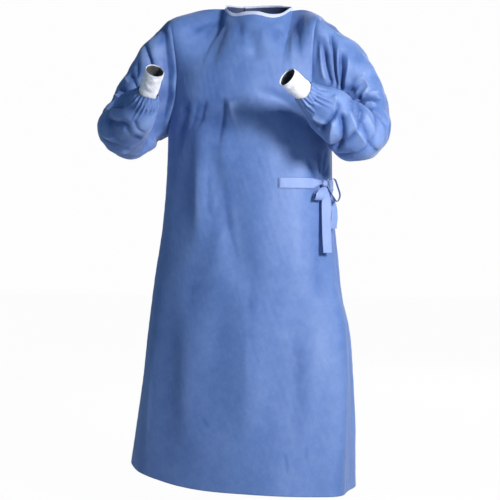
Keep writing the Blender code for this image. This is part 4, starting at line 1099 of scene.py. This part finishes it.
# Cuffs. Each is a tube of white ribbed polyester knit, doubled, with its fold at the open end. The
# sleeve's gathered edge is sewn round its other end. The layer inside is the same white knit, painted
# near-black as shade.
CUFF_WALL = 0.0018
CUFF_ROUND = 0.22
CUFF_BASE = 0.74
CUFF_ROWS = 56
CUFF_RIBS = 46
POINTS_PER_RIB = 6
RIB_DEPTH = 0.00035
RUMPLE_LENGTH = 0.016
RUMPLE_HEIGHT = 0.0005
DENT_LENGTH = 0.020
DENT_HEIGHT = 0.0006
RUMPLE_RISE = 0.3
RUMPLE_FALL = 0.1
RIM_ROUND = 0.035
CUFF_CLOTH = (0.13, 0.14)


def knit_group():
    """Knit loops: columns of small V stitches with cloudy wear, from the cuff's own sizes."""
    tree = group_of(
        "knit_loops",
        [("Colour", "NodeSocketColor", (0.8, 0.8, 0.8, 1)), ("Deep", "NodeSocketColor", (0.5, 0.5, 0.55, 1))],
        [("Colour", "NodeSocketColor"), ("Height", "NodeSocketFloat")],
    )
    given = add(tree, "NodeGroupInput").outputs
    cloth = add(tree, "ShaderNodeUVMap", uv_map="cloth").outputs["UV"]
    place = add(tree, "ShaderNodeTexCoord").outputs["Object"]
    waves = []
    for scale, distortion, way in ((115.0, 0.6, "X"), (150.0, 1.5, "DIAGONAL")):
        values = {"Vector": cloth, "Scale": scale, "Distortion": distortion, "Detail": 1.0}
        waves.append(add(tree, "ShaderNodeTexWave", values, bands_direction=way).outputs["Fac"])
    loops = calc(tree, "MULTIPLY", *waves)
    worn = cloudy(tree, place, 55.0, 4.0)
    colour = mixed(tree, ranged(tree, loops, 0.0, 0.6, 0.45, 0.0), given["Colour"], given["Deep"])
    colour = mixed(tree, ranged(tree, worn, 0.4, 0.7, 0.0, 0.35), colour, given["Deep"])
    add(tree, "NodeGroupOutput", {"Colour": colour, "Height": loops})
    return tree


KNIT_LOOPS = knit_group()


def knit(name, colour, deep):
    """Ribbed knit in a colour and a deeper tone."""
    values = {"Roughness": 0.92, "Sheen Weight": 0.3, "Specular IOR Level": 0.25}
    return cloth_material(name, KNIT_LOOPS, (colour, deep), 0.5, 0.0006, values)[0]


WHITE = knit("white_knit", (0.86, 0.86, 0.88), (0.60, 0.58, 0.66))
# The cuffs' inner layer is the same white knit, painted near-black here as the shade of the hollow when worn.
WHITE_KNIT_PAINTED_SHADE = knit("white_knit_painted_shade", (0.10, 0.10, 0.11), (0.05, 0.05, 0.06))


def cuff_tube(wrist_ring, end, seed):
    """The doubled knit tube: out along its outside, round the folded rim and back inside."""
    wrist = wrist_ring.mean(axis=0)
    axis = unit(end.place - wrist)
    count = CUFF_RIBS * POINTS_PER_RIB
    closed = np.concatenate([wrist_ring, wrist_ring[:1]])
    at = np.linspace(0, len(wrist_ring), count, endpoint=False)
    spots = np.arange(len(closed))
    around = np.stack([np.interp(at, spots, values) for values in closed.T], axis=-1) - wrist
    around = around - (around @ axis)[:, None] * axis
    radius = np.linalg.norm(around, axis=1)
    direction = unit(around)
    rib = RIB_DEPTH * np.cos(2 * np.pi * np.arange(count) / POINTS_PER_RIB)
    outside = []
    inside = []
    for part in np.linspace(0, 1, CUFF_ROWS):
        share = smooth_step(part / CUFF_ROUND)
        reach = radius * CUFF_BASE * (1 - share) + end.radius * share
        middle = wrist + (end.place - wrist) * part
        points = middle + direction * reach[:, None]
        rumple = RUMPLE_HEIGHT * ripples(points, RUMPLE_LENGTH, seed)
        rumple = rumple + DENT_HEIGHT * crumples(points, DENT_LENGTH, seed)
        rumple = rumple * smooth_step(part / RUMPLE_RISE) * smooth_step((1 - part) / RUMPLE_FALL)
        half = CUFF_WALL / 2 * math.sqrt(max(0.0, 1 - max(0.0, (part - 1 + RIM_ROUND) / RIM_ROUND) ** 2))
        outside.append(middle + direction * (reach + rumple + half + rib)[:, None])
        inside.append(middle + direction * (reach + rumple - half + rib / 2)[:, None])
    return np.array(outside + inside[::-1])


for name, seed in (("right", 5), ("left", 6)):
    tube = cuff_tube(sleeves[name], CUFF_ENDS[name], seed)
    cuff = cloth_object("gown_cuff_" + name, tube, CUFF_CLOTH, True)
    face_outwards(cuff, tube[:CUFF_ROWS].mean(axis=(0, 1)))
    dress(cuff, WHITE, "cuff_" + name)
    # The inner layer's faces take the near-black painted shade.
    cuff.data.materials.append(WHITE_KNIT_PAINTED_SHADE)
    for face in cuff.data.polygons[(CUFF_ROWS + 2) * tube.shape[1] :]:
        face.material_index = 1

# Neck binding. One bias strip of paler nonwoven, folded over the neck's edge and sewn through. Its
# two ends are free at the back, where the right back panel laps over the left one. The panels'
# own blue margin is caught inside it and shows round the neck's inner side.
BINDING_HEIGHT = 0.010
BINDING_WALL = 0.0022
BINDING_LAP = 0.0012
BINDING_STEPS = 14
BINDING_INSIDE = 0.0040
BINDING_WAVE = 0.0006
BINDING_WAVE_LENGTH = 0.045
BINDING_SEED = 77
BINDING_CLOTH = (0.60, 0.022)
MARGIN_CLOTH = (0.60, 0.010)
BINDING_SWELL = 0.0004
BINDING_FOLD_STEPS = 9
MARGIN_BEGINS = -0.002
MARGIN_IN = 0.0004
MARGIN_STEPS = 9
NECK_SMOOTHING = 6
SEAM_GAP = 0.0003
SHOULDER_COLUMNS = round(NECK_SHARE * PANEL_COLUMNS)


def neckline(front_part, left_part, right_part):
    """Values along the neckline, from the left back's free edge round to the right back's."""
    left = left_part[left_columns : PANEL_COLUMNS - SHOULDER_COLUMNS + 1]
    middle = front_part[SHOULDER_COLUMNS : PANEL_COLUMNS - SHOULDER_COLUMNS + 1][::-1]
    right = right_part[SHOULDER_COLUMNS:right_columns]
    at_left = (left[-1] + middle[0]) / 2
    at_right = (middle[-1] + right[0]) / 2
    return np.concatenate([left[:-1], at_left[None], middle[1:-1], at_right[None], right[1:]])


lapped_top = back_grid[-1] + back_out[-1] * lap[:, None]
neck_edge = neckline(front_grid[-1], back_grid[-1], lapped_top)
neck_rising = neckline(
    unit(front_grid[-1] - front_grid[-2]),
    unit(back_grid[-1] - back_grid[-2]),
    unit(back_grid[-1] - back_grid[-2]),
)
neck_out = unit(neckline(front_out[-1], back_out[-1], back_out[-1]))
neck_rising = unit(neck_rising - neck_out * (neck_rising * neck_out).sum(-1, keepdims=True))
for _ in range(NECK_SMOOTHING):
    neck_rising[1:-1] = unit(neck_rising[:-2] + neck_rising[2:] + neck_rising[1:-1])
    neck_out[1:-1] = unit(neck_out[:-2] + neck_out[2:] + neck_out[1:-1])
wave = ripples(neck_edge, BINDING_WAVE_LENGTH, BINDING_SEED)[:, None] * BINDING_WAVE
low = SEAM_GAP / 2 - BINDING_LAP
top = SEAM_GAP / 2 + BINDING_HEIGHT
fold_round = BINDING_WALL / 2


def binding_side(start, side):
    """Heights and distances out of one side of the folded strip, from its edge up to the fold."""
    parts = np.linspace(0, 1, BINDING_STEPS)
    swells = fold_round + BINDING_SWELL * np.sin(np.pi * parts) ** 2
    return list(zip(start + (top - fold_round - start) * parts, side * swells))


turns = np.linspace(0, np.pi, BINDING_FOLD_STEPS)[1:-1]
fold = list(zip(top - fold_round + fold_round * np.sin(turns), fold_round * np.cos(turns)))
binding_rows = binding_side(low, 1) + fold + binding_side(top - BINDING_INSIDE, -1)[::-1]
binding_grid = []
for height, aside in binding_rows:
    binding_grid.append(neck_edge + neck_rising * height + neck_out * (aside + wave * height / top))
binding_grid = np.array(binding_grid)
margin_heights = np.linspace(MARGIN_BEGINS, BINDING_HEIGHT + MARGIN_BEGINS, MARGIN_STEPS)
margin_grid = np.array([neck_edge + neck_rising * height - neck_out * MARGIN_IN for height in margin_heights])
margin = cloth_object("neck_margin", margin_grid, MARGIN_CLOTH)
face_outwards(margin, neck_edge.mean(axis=0))
# Seen from inside the neck, the margin shows its inner face, which the blue cloth paints near-black navy as
# shade.
dress(margin, BLUE, "neck_binding")
BINDING_TONES = ((0.56, 0.60, 0.80), (0.38, 0.42, 0.68), (0.78, 0.80, 0.94))
PALE_BINDING = nonwoven("pale_binding", *BINDING_TONES, sheen=0.3)
binding = cloth_object("neck_binding", binding_grid, BINDING_CLOTH)
face_outwards(binding, neck_edge.mean(axis=0))
dress(binding, PALE_BINDING, "neck_binding")

# Waist tie. Two straps of the same cloth, folded double and stitched, one sewn to the front panel and
# one to the right back panel's free edge. They are tied in a bow near the wearer's left side. Two
# rows of dark blue stitches hold the front strap's end; they are wide enough to stand also for the
# shadow of its turned end, so they are partly thread and partly painted shade.
TIE_WIDTH = 0.025
TIE_WALL = 0.0012
TIE_CLEAR = 0.0006
TIE_LEVEL = 0.848
WALL = 0.0018
KNOT_ROUND_AT = 28 / 32
FRONT_STRAP_BEGINS = 20.9 / 32
FRONT_STRAP_LEAVES = 26 / 32
BACK_STRAP_BEGINS = 18 / 32
BACK_STRAP_LEAVES = 30 / 32
KNOT_OUT = 0.0095
KNOT_ACROSS = 0.009
KNOT_DEEP = 0.007
KNOT_HIGH = 0.009
STRAP_END_ACROSS = 0.0087
STRAP_END_UP = 0.003
STRAP_END_IN = 0.002
STRAP_END_WIDTH = 0.009
TIE_ACROSS = 17
STRAP_STEP = 0.002
EDGE_STITCH = 0.0020
STITCH_DIP = 0.00025
END_STITCH_ROWS = (1, 2)
STITCH_APART = 0.0027
STITCH_LONG = 0.0024
STITCH_WIDE = 0.0015
STITCH_HIGH = 0.0006
PLACES_APART = 0.006
END_PLEAT = 0.0011
END_PLEATS = 9
THREAD_REACH = 0.0005
EDGE_ROUND = 0.15
LAP_FADES = 0.05
UP = np.array((0, 0, 1.0))
SAME_POINT = 1e-6


def strap_line(grid, out, places, lift):
    """Rows of points across a strap that lies on a panel, at the places along it."""
    row = TIE_LEVEL * ROWS_BELOW
    rows = []
    for place in places:
        column = np.full(TIE_ACROSS, place * PANEL_COLUMNS)
        ends = on_grid(grid, np.array([row, row + 1]), column[:2])
        half = TIE_WIDTH / 2 / (ends[1, 2] - ends[0, 2])
        at = row + np.linspace(-half, half, TIE_ACROSS)
        rows.append(on_grid(grid, at, column) + unit(on_grid(out, at, column)) * lift)
    return rows


def strap_end(side):
    """Where a strap, drawn together, enters the knot."""
    middle = knot + knot_across * STRAP_END_ACROSS * side - knot_out * STRAP_END_IN
    middle = middle + UP * STRAP_END_UP
    across = np.linspace(-1, 1, TIE_ACROSS)[:, None]
    return middle + UP * STRAP_END_WIDTH / 2 * across + knot_out * END_PLEAT * np.sin(across * END_PLEATS)


def drawn(rows):
    """Rows at even steps along a smooth path through the given rows."""
    rows = np.array(rows)
    steps = np.linalg.norm(np.diff(rows[:, TIE_ACROSS // 2], axis=0), axis=1)
    knots = np.concatenate([[0], np.cumsum(steps)])
    return curve_through(knots, rows, np.linspace(0, knots[-1], int(knots[-1] / STRAP_STEP) + 1))


def ribbon(name, grid):
    """A double strip with rounded edges and a stitched line along each of them."""
    out = normals_of(grid)
    width = np.linalg.norm(np.diff(grid, axis=1), axis=-1)
    across = np.concatenate([np.zeros((len(grid), 1)), np.cumsum(width, axis=1)], axis=1)
    from_edge = np.minimum(across, across[:, -1:] - across)
    half = TIE_WALL / 2 * np.sqrt(np.clip(from_edge / TIE_WALL, EDGE_ROUND, 1))
    half = half - STITCH_DIP * swell(from_edge, EDGE_STITCH, THREAD_REACH)
    shell = np.concatenate([grid + out * half[..., None], (grid - out * half[..., None])[:, ::-1]], axis=1)
    tips = shell.mean(axis=1, keepdims=True).repeat(shell.shape[1], 1)
    closed = np.concatenate([tips[:1], shell, tips[-1:]])
    piece = cloth_object(name, closed, (0.05, len(grid) * STRAP_STEP), True)
    clean = bmesh.new()
    clean.from_mesh(piece.data)
    bmesh.ops.remove_doubles(clean, verts=clean.verts, dist=SAME_POINT)
    bmesh.ops.recalc_face_normals(clean, faces=clean.faces)
    clean.to_mesh(piece.data)
    clean.free()
    dress(piece, PALE_TIE, name)
    return piece


PALE_TONES = ((0.205, 0.295, 0.570), (0.110, 0.185, 0.450), (0.340, 0.440, 0.700))
PALE_TIE = nonwoven("pale_tie", *PALE_TONES, sheen=0.25)
knot_row = np.array([TIE_LEVEL * ROWS_BELOW])
knot_column = np.array([KNOT_ROUND_AT * PANEL_COLUMNS])
knot_out = unit(on_grid(front_out, knot_row, knot_column)[0] * np.array((1, 1, 0)))
knot_across = np.array((-knot_out[1], knot_out[0], 0.0))
knot = on_grid(front_grid, knot_row, knot_column)[0] + knot_out * (KNOT_OUT + WALL / 2)
lift = WALL / 2 + SEAM_GAP + TIE_CLEAR + TIE_WALL / 2 - CLOTH_OUT

front_places = np.arange(FRONT_STRAP_BEGINS, FRONT_STRAP_LEAVES, PLACES_APART)
front_strap = strap_line(front_face, front_out, front_places, lift)
front_rows = drawn(front_strap + [strap_end(-1)])
front_ribbon = ribbon("tie_front_strap", front_rows)
corners = []
for row in END_STITCH_ROWS:
    line = front_rows[row]
    up = unit(line[-1] - line[0])
    off = normals_of(front_rows)[row].mean(axis=0)
    off = off * np.sign(off @ knot_out)
    ahead = np.cross(off, up)
    length = np.linalg.norm(line[-1] - line[0])
    for place in np.arange(STITCH_APART, length - STITCH_APART / 2, STITCH_APART):
        middle = line[0] + up * place + off * TIE_WALL / 2
        for high, long, wide in product((-1, 1), repeat=3):
            reach = up * long * STITCH_LONG + ahead * wide * STITCH_WIDE + off * high * STITCH_HIGH
            corners.append(middle + reach / 2)
box = ((0, 1, 3, 2), (4, 6, 7, 5), (0, 4, 5, 1), (2, 3, 7, 6), (0, 2, 6, 4), (1, 5, 7, 3))
faces = [[8 * k + corner for corner in face] for k in range(len(corners) // 8) for face in box]
thread_mesh = bpy.data.meshes.new("strap_stitches")
thread_mesh.from_pydata([tuple(c) for c in corners], [], faces)
thread_mesh.uv_layers.new(name="cloth")
stitches = bpy.data.objects.new("strap_stitches", thread_mesh)
bpy.context.scene.collection.objects.link(stitches)
# Dark blue thread, which also stands for the shadow of the strap's turned end: partly painted shade.
THREAD_AND_END_SHADE_TONES = ((0.06, 0.12, 0.36), (0.03, 0.07, 0.25), (0.12, 0.20, 0.45))
THREAD_AND_END_SHADE = nonwoven("blue_thread_and_end_shade", *THREAD_AND_END_SHADE_TONES, sheen=0.1)
dress(stitches, THREAD_AND_END_SHADE, "tie_front_strap")

back_places = np.arange(BACK_STRAP_BEGINS, 1.0, PLACES_APART)
lapping = np.interp(back_places, (RIGHT_BACK_ENDS, RIGHT_BACK_ENDS + LAP_FADES), (LAP_STEP, 0))
back_strap = []
for place, extra in zip(back_places, lapping):
    back_strap += strap_line(back_face, back_out, [place], lift + extra)
side_places = np.arange(1.0, BACK_STRAP_LEAVES, -PLACES_APART)
back_strap += strap_line(front_face, front_out, side_places, lift)
ribbon("tie_back_strap", drawn(back_strap + [strap_end(1)]))

Place = namedtuple("Place", "across out up width turn")
LOOP_FRONT = [
    Place(-0.0068, 0.0030, -0.0080, 0.006, 0),
    Place(-0.0180, 0.0080, -0.0150, 0.018, 10),
    Place(-0.0265, 0.0100, -0.0250, 0.024, 15),
    Place(-0.0275, 0.0080, -0.0360, 0.025, 15),
    Place(-0.0270, 0.0020, -0.0400, 0.024, 15),
    Place(-0.0255, -0.0025, -0.0340, 0.022, 12),
    Place(-0.0220, -0.0035, -0.0220, 0.018, 8),
    Place(-0.0130, -0.0025, -0.0110, 0.008, 0),
]
LOOP_SIDE = [
    Place(0.0062, 0.0042, 0.0052, 0.009, 120),
    Place(0.0180, 0.0140, 0.0120, 0.017, 128),
    Place(0.0250, 0.0210, -0.0080, 0.022, 131),
    Place(0.0270, 0.0250, -0.0340, 0.022, 131),
    Place(0.0220, 0.0220, -0.0430, 0.022, 131),
    Place(0.0140, 0.0150, -0.0300, 0.018, 131),
    Place(0.0062, 0.0042, -0.0056, 0.008, 125),
]
TAIL_LONG = [
    Place(0.0000, 0.0030, -0.0086, 0.006, 0),
    Place(0.0010, 0.0060, -0.0200, 0.019, 12),
    Place(0.0000, 0.0065, -0.0400, 0.025, 20),
    Place(-0.0040, 0.0095, -0.0800, 0.025, 22),
    Place(-0.0090, 0.0150, -0.1250, 0.025, 20),
    Place(-0.0130, 0.0210, -0.1660, 0.025, 18),
]
TAIL_SHORT = [
    Place(0.0062, -0.0030, -0.0080, 0.006, 0),
    Place(0.0200, 0.0000, -0.0260, 0.018, 0),
    Place(0.0290, 0.0035, -0.0500, 0.023, 0),
    Place(0.0310, 0.0060, -0.0780, 0.023, 0),
    Place(0.0280, 0.0050, -0.1080, 0.023, 0),
]
BOW_STEP = 0.001
BOW_PLEAT = 0.0012
BOW_PLEATS = 8
PLEAT_START = 1

for name, table, flat in (
    ("tie_loop_front", LOOP_FRONT, (0.080, 0.025)),
    ("tie_loop_side", LOOP_SIDE, (0.125, 0.025)),
    ("tie_tail_long", TAIL_LONG, (0.165, 0.025)),
    ("tie_tail_short", TAIL_SHORT, (0.105, 0.025)),
):
    table = np.array(table)
    lengths = np.linalg.norm(np.diff(table[:, :3], axis=0), axis=1)
    knots = np.concatenate([[0], np.cumsum(lengths)])
    rows = []
    for row in curve_through(knots, table, np.linspace(0, knots[-1], int(knots[-1] / BOW_STEP) + 1)):
        place = Place(*row)
        middle = knot + knot_across * place.across + knot_out * place.out + UP * place.up
        turn = math.radians(place.turn)
        sideways = knot_across * math.cos(turn) + knot_out * math.sin(turn)
        parts = np.linspace(-1, 1, TIE_ACROSS)[:, None]
        drawn_in = max(0.0, 1 - place.width / TIE_WIDTH)
        pleat = np.cross(sideways, UP) * np.sin(parts * BOW_PLEATS + PLEAT_START) * BOW_PLEAT * drawn_in
        rows.append(middle + sideways * place.width / 2 * parts + pleat)
    ribbon(name, np.array(rows))

KNOT_AROUND = 96
KNOT_RINGS = 48
KNOT_GROOVES = 5
GROOVE_DEEP = 0.07
POLE_GAP = 0.02
GROOVE_SLANT = (0.9, 0.55)
GROOVE_SHARP = 3
KNOT_CLOTH = (0.05, 0.03)
heights, turns = np.meshgrid(
    np.linspace(POLE_GAP, np.pi - POLE_GAP, KNOT_RINGS),
    np.linspace(0, 2 * np.pi, KNOT_AROUND, endpoint=False),
    indexing="ij",
)
x, y, z = np.cos(turns) * np.sin(heights), np.sin(turns) * np.sin(heights), np.cos(heights)
slant = z * GROOVE_SLANT[0] + x * GROOVE_SLANT[1]
groove = 1 - GROOVE_DEEP * np.abs(np.sin(slant * KNOT_GROOVES)) ** GROOVE_SHARP
knot_grid = (
    knot
    + knot_across * (x * KNOT_ACROSS * groove)[..., None]
    + knot_out * (y * KNOT_DEEP * groove)[..., None]
    + UP * (z * KNOT_HIGH * groove)[..., None]
)
tie_knot = cloth_object("tie_knot", knot_grid, KNOT_CLOTH, True)
face_outwards(tie_knot, knot)
dress(tie_knot, PALE_TIE, "tie_knot")

# Floor, light and camera. A plain pale floor and backdrop that glow a little, as in a cut-out
# photo, one near light from the right of the picture, a little above the shoulders, a weak one from
# the left and a soft one from behind. A bluish sky fills the shadows.
CAMERA_AZIMUTH = math.radians(12.0)
CAMERA_DISTANCE = 3.0
CAMERA_HEIGHT = -0.575
CAMERA_LENS = 86.4
FLOOR_HEIGHT = -1.235
FLOOR_HALF = 14.0
FLOOR_GLOW = 0.97

floor_mesh = bpy.data.meshes.new("floor")
sides = ((-1, -1), (1, -1), (1, 1), (-1, 1))
floor_corners = [(x * FLOOR_HALF, y * FLOOR_HALF, FLOOR_HEIGHT) for x, y in sides]
floor_mesh.from_pydata(floor_corners, [], [(0, 1, 2, 3)])
floor = bpy.data.objects.new("floor", floor_mesh)
bpy.context.scene.collection.objects.link(floor)
floor_paint = bpy.data.materials.new("floor_paint")
floor_paint.use_nodes = True
paint = floor_paint.node_tree.nodes["Principled BSDF"]
paint.inputs["Base Color"].default_value = (0.80, 0.80, 0.80, 1)
paint.inputs["Roughness"].default_value = 0.95


def glow_to_camera(tree, plain, glow, share, output):
    """Lets the camera see a share of a glow, while the light falls on the plain shader."""
    seen = calc(tree, "MULTIPLY", add(tree, "ShaderNodeLightPath").outputs["Is Camera Ray"], share)
    both = add(tree, "ShaderNodeMixShader", {0: seen, 1: plain.outputs[0], 2: glow.outputs[0]})
    tree.links.new(both.outputs[0], tree.nodes[output].inputs["Surface"])


floor_glow = add(floor_paint.node_tree, "ShaderNodeEmission", {"Color": (1.0, 1.0, 1.0, 1)})
glow_to_camera(floor_paint.node_tree, paint, floor_glow, FLOOR_GLOW, "Material Output")
floor_mesh.materials.append(floor_paint)

world = bpy.data.worlds.new("studio")
world.use_nodes = True
bpy.context.scene.world = world
sky = world.node_tree.nodes["Background"]
sky.inputs["Color"].default_value = (0.34, 0.66, 1.0, 1)
sky.inputs["Strength"].default_value = 0.26
backdrop = add(world.node_tree, "ShaderNodeBackground", {"Color": (0.985, 0.985, 0.985, 1), "Strength": 1.0})
glow_to_camera(world.node_tree, sky, backdrop, 1.0, "World Output")
bpy.context.scene.view_settings.view_transform = "Standard"


def soft_light(name, place, target, size, power, colour):
    """A square area light that looks at a point."""
    data = bpy.data.lights.new(name, "AREA")
    data.size = size
    data.energy = power
    data.color = colour
    lamp = bpy.data.objects.new(name, data)
    lamp.location = place
    direction = Vector(target) - Vector(place)
    lamp.rotation_euler = direction.to_track_quat("-Z", "Y").to_euler()
    bpy.context.scene.collection.objects.link(lamp)


soft_light("key", (1.62, -1.48, 0.28), (0.08, 0.0, -0.10), 0.45, 66, (1.0, 0.97, 0.95))
soft_light("back", (0.8, 3.4, 1.0), (0.0, 0.0, -0.5), 2.4, 75, (1.0, 1.0, 1.0))
soft_light("fill", (-2.6, -2.4, 0.4), (0.0, 0.0, -0.6), 2.4, 4, (0.70, 0.88, 1.0))

camera_data = bpy.data.cameras.new("camera")
camera_data.lens = CAMERA_LENS
camera = bpy.data.objects.new("camera", camera_data)
camera.location = (
    CAMERA_DISTANCE * math.sin(CAMERA_AZIMUTH),
    -CAMERA_DISTANCE * math.cos(CAMERA_AZIMUTH),
    CAMERA_HEIGHT,
)
camera.rotation_euler = (math.pi / 2, 0, CAMERA_AZIMUTH)
bpy.context.scene.collection.objects.link(camera)
bpy.context.scene.camera = camera
